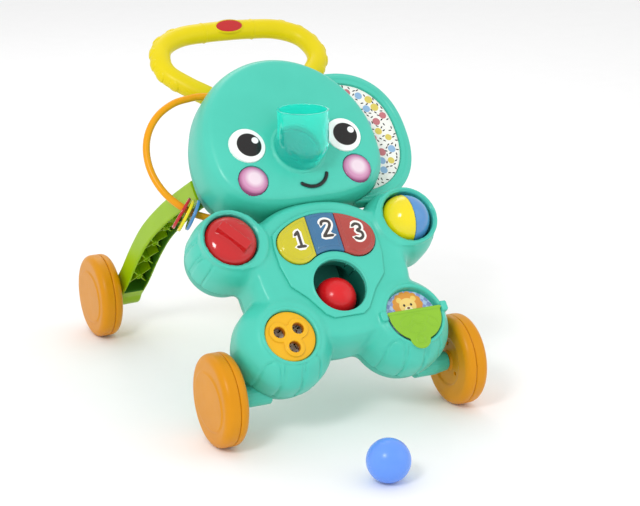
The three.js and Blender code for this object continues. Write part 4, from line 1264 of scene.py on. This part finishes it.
def build_rear_legs():
    points, quads = skin(rear_leg, (98, 8, 34), (136, 306, 286), 1.7)
    middles = points[quads].mean(1)
    gap, _, across = leg_lie(middles)
    # Faces inside the open channel get the painted shade.
    shaded = (np.abs(middles[:, 0] - LEG_X) < 14.4) & (gap < 12.4) & (across > -10.6)
    normal_w = PANEL.to_3x3() @ Vector((0, 0, 1))
    for name, side in SIDES:
        p = upright(leg_place(points, side))
        panel_w = (p - np.array(PANEL.translation)) @ np.array(normal_w) * 1000
        over = np.maximum(panel_w + 44.8, 0) * MM
        p = p - over[:, None] * np.array(normal_w)
        faces = quads if side > 0 else quads[:, ::-1]
        node_name = f"rear_leg_{name}"
        leg = piece(f"{node_name}_channel", "frame", [node_name], [(p, faces, LIME)])
        leg.data.materials.append(LIME_PAINTED_SHADE)
        leg.data.polygons.foreach_set("material_index", shaded.astype(int))
        square = np.array([(-0.5, -0.5), (0.5, -0.5), (0.5, 0.5), (-0.5, 0.5)])
        rib = rings([np.column_stack([square, np.full(4, end)]) for end in (-0.5, 0.5)])
        ring = skin(
            lambda q: slab(np.abs(np.hypot(q[:, 0], q[:, 1]) - 4) - 0.8, q[:, 2], -2.4, 2.4, 0.4),
            (-6, -6, -4),
            (6, 6, 4),
            0.9,
        )
        bars, loops = [], []
        run = np.hypot(*np.diff(LEG_LINE, axis=0).T).cumsum()
        for k in range(1, LATTICE + 1):
            at_run = run[-1] * (CHANNEL_FROM + 0.78 * k / (LATTICE + 1))
            n = int(np.searchsorted(run, at_run))
            centre = np.array([[LEG_X, LEG_LINE[n][0], LEG_LINE[n][1]]])
            way = LEG_LINE[min(n + 1, len(LEG_LINE) - 1)] - LEG_LINE[n - 1]
            pitch = math.atan2(way[1], way[0])
            middle = Vector(upright(leg_place(centre, side))[0])
            lie = Matrix.Rotation(side * -TOE_IN, 4, "Z") @ Matrix.Rotation(pitch, 4, "X")
            loops.append((Matrix.Translation(middle) @ lie, (1, 1, 4)))
            for slant in (-1, 1):
                turn = Matrix.Rotation(slant * math.radians(42), 4, "Z")
                bars.append((Matrix.Translation(middle) @ lie @ turn, (1.4, 40, 16)))
        repeated(f"rear_leg_{name}_lattice", "frame", rib, bars, LIME)
        repeated(f"rear_leg_{name}_lattice_rings", "frame", ring, loops, LIME)


# --- wheels and running gear
WHEEL_SCREW_RING, WHEEL_SCREW_R, WHEEL_HUB_R = 22, 2.3, 12.5


def build_wheels():
    half = WHEEL_THICK / 2
    seam = half - 18.6

    def both(p):
        a, r = p[:, 2], np.hypot(p[:, 0], p[:, 1])
        bearing = np.arctan2(p[:, 1], p[:, 0])
        form = slab(r - WHEEL_R, a, -half, 14.2, 9)
        face = slab(r - 37 - 3.4 * np.sin(2 * bearing + 0.05 * r), a, 8, half, 1.4)
        form = soft_union(form, face, 1.2)
        form = soft_cut(form, slab(r - 30, a, -30, -half + 2.4, 1.6), 1.5)
        form = np.minimum(form, slab(r - WHEEL_HUB_R, a, -half, 0, 1.2))
        for turn in np.radians([90, 210, 330]):
            u, v = WHEEL_SCREW_RING * math.cos(turn), WHEEL_SCREW_RING * math.sin(turn)
            hole = np.hypot(p[:, 0] - u, p[:, 1] - v)
            form = soft_cut(form, np.maximum(hole - WHEEL_SCREW_R, a + 6), 0.5)
        return form

    def cap(p):
        return soft_cut(both(p), p[:, 2] - seam - 0.25, 1.0)

    def inner(p):
        form = soft_cut(both(p), seam - 0.25 - p[:, 2], 1.0)
        return soft_cut(form, np.hypot(p[:, 0], p[:, 1]) - AXLE_HOLE_R, 0.4)

    outside = skin(cap, (-57, -57, seam - 1), (57, 57, half + 1.5), 1.5)
    inside = skin(inner, (-57, -57, -half - 1.5), (57, 57, seam + 1), 1.5)
    for end, x, y in (("front", FRONT_WHEEL_X, FRONT_WHEEL_Y), ("rear", REAR_WHEEL_X, REAR_WHEEL_Y)):
        for name, side in SIDES:
            for part, form in (("cap", outside), ("back", inside)):
                p, quads = form
                place = np.stack([side * (x + p[:, 2]), y - p[:, 0], WHEEL_Z + p[:, 1]], 1)
                faces = quads if signed_volume(place, quads) > 0 else quads[:, ::-1]
                name_of = f"wheel_{end}_{name}"
                node = f"wheel_{part}_{end}_{name}"
                chunk = (upright(place), faces, AMBER)
                piece(f"{name_of}_{part}_moulding", name_of, [node], [chunk])


def signed_volume(points, quads):
    a, b, c, d = (points[quads[:, k]] for k in range(4))
    return (np.cross(a, b) * c).sum() + (np.cross(a, c) * d).sum()


def build_gear():
    turns = np.linspace(0, math.pi, 65)
    ball_form = turned([(BALL_R * math.sin(a), -BALL_R * math.cos(a)) for a in turns], 128, 0)
    for name, finish in (("red", BALL_RED), ("blue", BALL_BLUE)):
        low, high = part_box(f"{name}_ball")
        middle = np.array((low + high) / 2)
        chunk = (upright(ball_form[0]) + middle, ball_form[1], finish)
        piece(f"ball_{name}_blown", f"{name}_ball_body", [f"{name}_ball"], [chunk])
    screw = turned([(0, -2), (3.4, -2), (3.4, 0.4), (2.6, 1.1), (0.7, 1.2), (0, 0.4)], 24, 0)
    spots = [(on(u, v, -41.2, 0, math.pi), (1, 1, 1)) for u, v in BACK_SCREWS]
    repeated("back_screws", "frame", screw, spots, STEEL)


# --- pieces carried over from the CAD
CARRIED = {
    "front_bracket": TEAL,
    "axle": STEEL,
    "battery_door_screw": STEEL,
    # The battery door takes the back cover's painted shade.
    "battery_door": TEAL_BACK_PAINTED_SHADE,
    "battery_1": BLACK,
    "battery_2": BLACK,
    "circuit_board": CIRCUIT,
    "speaker": BLACK,
    "power_switch": RED,
    "flap_pin": STEEL,
    "roller_axle": STEEL,
}


def dress_carried():
    for node_name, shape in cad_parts.items():
        if shape.hide_render:
            continue
        finish = next((m for key, m in CARRIED.items() if node_name.startswith(key)), None)
        if finish is None:
            raise ValueError(f"{node_name} has no finish")
        shape.data.materials.clear()
        shape.data.materials.append(finish)


# --- stage, light and camera
# Name, place, size in metres and power in watts.
LAMPS = (
    ("key", (-1.5, -1.3, 1.8), 0.55, 18),
    ("fill", (1.6, -1.4, 1.1), 1.6, 4),
    ("back", (0.3, 1.7, 1.8), 1.4, 8),
)
FLOOR, SKY_STRENGTH = 9, 0.9
CAMERA_PLACE, CAMERA_TARGET, CAMERA_ROLL = (-0.9059, -1.9597, 0.8345), (0, -0.0507, 0.198), -0.22


def build_stage():
    mesh = bpy.data.meshes.new("floor")
    corners = [(-FLOOR, -FLOOR, 0), (FLOOR, -FLOOR, 0), (FLOOR, FLOOR, 0), (-FLOOR, FLOOR, 0)]
    mesh.from_pydata(corners, [], [(0, 1, 2, 3)])
    mesh.materials.append(moulded("floor_matt_white_painted", "#fbfbfb", "#f8f8f8", 0.8, grain=0.0))
    floor = bpy.data.objects.new("floor", mesh)
    bpy.context.scene.collection.objects.link(floor)
    world = bpy.data.worlds.new("studio")
    bpy.context.scene.world = world
    world.use_nodes = True
    sky = world.node_tree.nodes["Background"]
    sky.inputs["Color"].default_value = (1, 1, 1, 1)
    sky.inputs["Strength"].default_value = SKY_STRENGTH
    for name, place, size, power in LAMPS:
        data = bpy.data.lights.new(name, "AREA")
        data.size, data.energy = size, power
        lamp = bpy.data.objects.new(name, data)
        lamp.location = place
        lamp.rotation_euler = (Vector((0, 0, 0.2)) - Vector(place)).to_track_quat("-Z", "Y").to_euler()
        bpy.context.scene.collection.objects.link(lamp)
    bpy.context.scene.view_settings.view_transform = "Standard"


def build_camera():
    data = bpy.data.cameras.new("camera")
    data.lens, data.sensor_width = 103.4, 36
    data.shift_x, data.shift_y = 0.0165, -0.0149
    data.clip_end = 50
    camera = bpy.data.objects.new("camera", data)
    place, target = Vector(CAMERA_PLACE), Vector(CAMERA_TARGET)
    camera.location = place
    look = (target - place).to_track_quat("-Z", "Y")
    camera.rotation_mode = "QUATERNION"
    camera.rotation_quaternion = look @ Matrix.Rotation(math.radians(CAMERA_ROLL), 3, "Z").to_quaternion()
    bpy.context.scene.collection.objects.link(camera)
    bpy.context.scene.camera = camera


build_shells()
build_face()
build_keys()
build_knob()
build_roller()
build_spinner()
build_flap()
build_labels()
build_prints()
build_handle()
build_wire()
build_rear_legs()
build_wheels()
build_gear()
dress_carried()
build_stage()
build_camera()
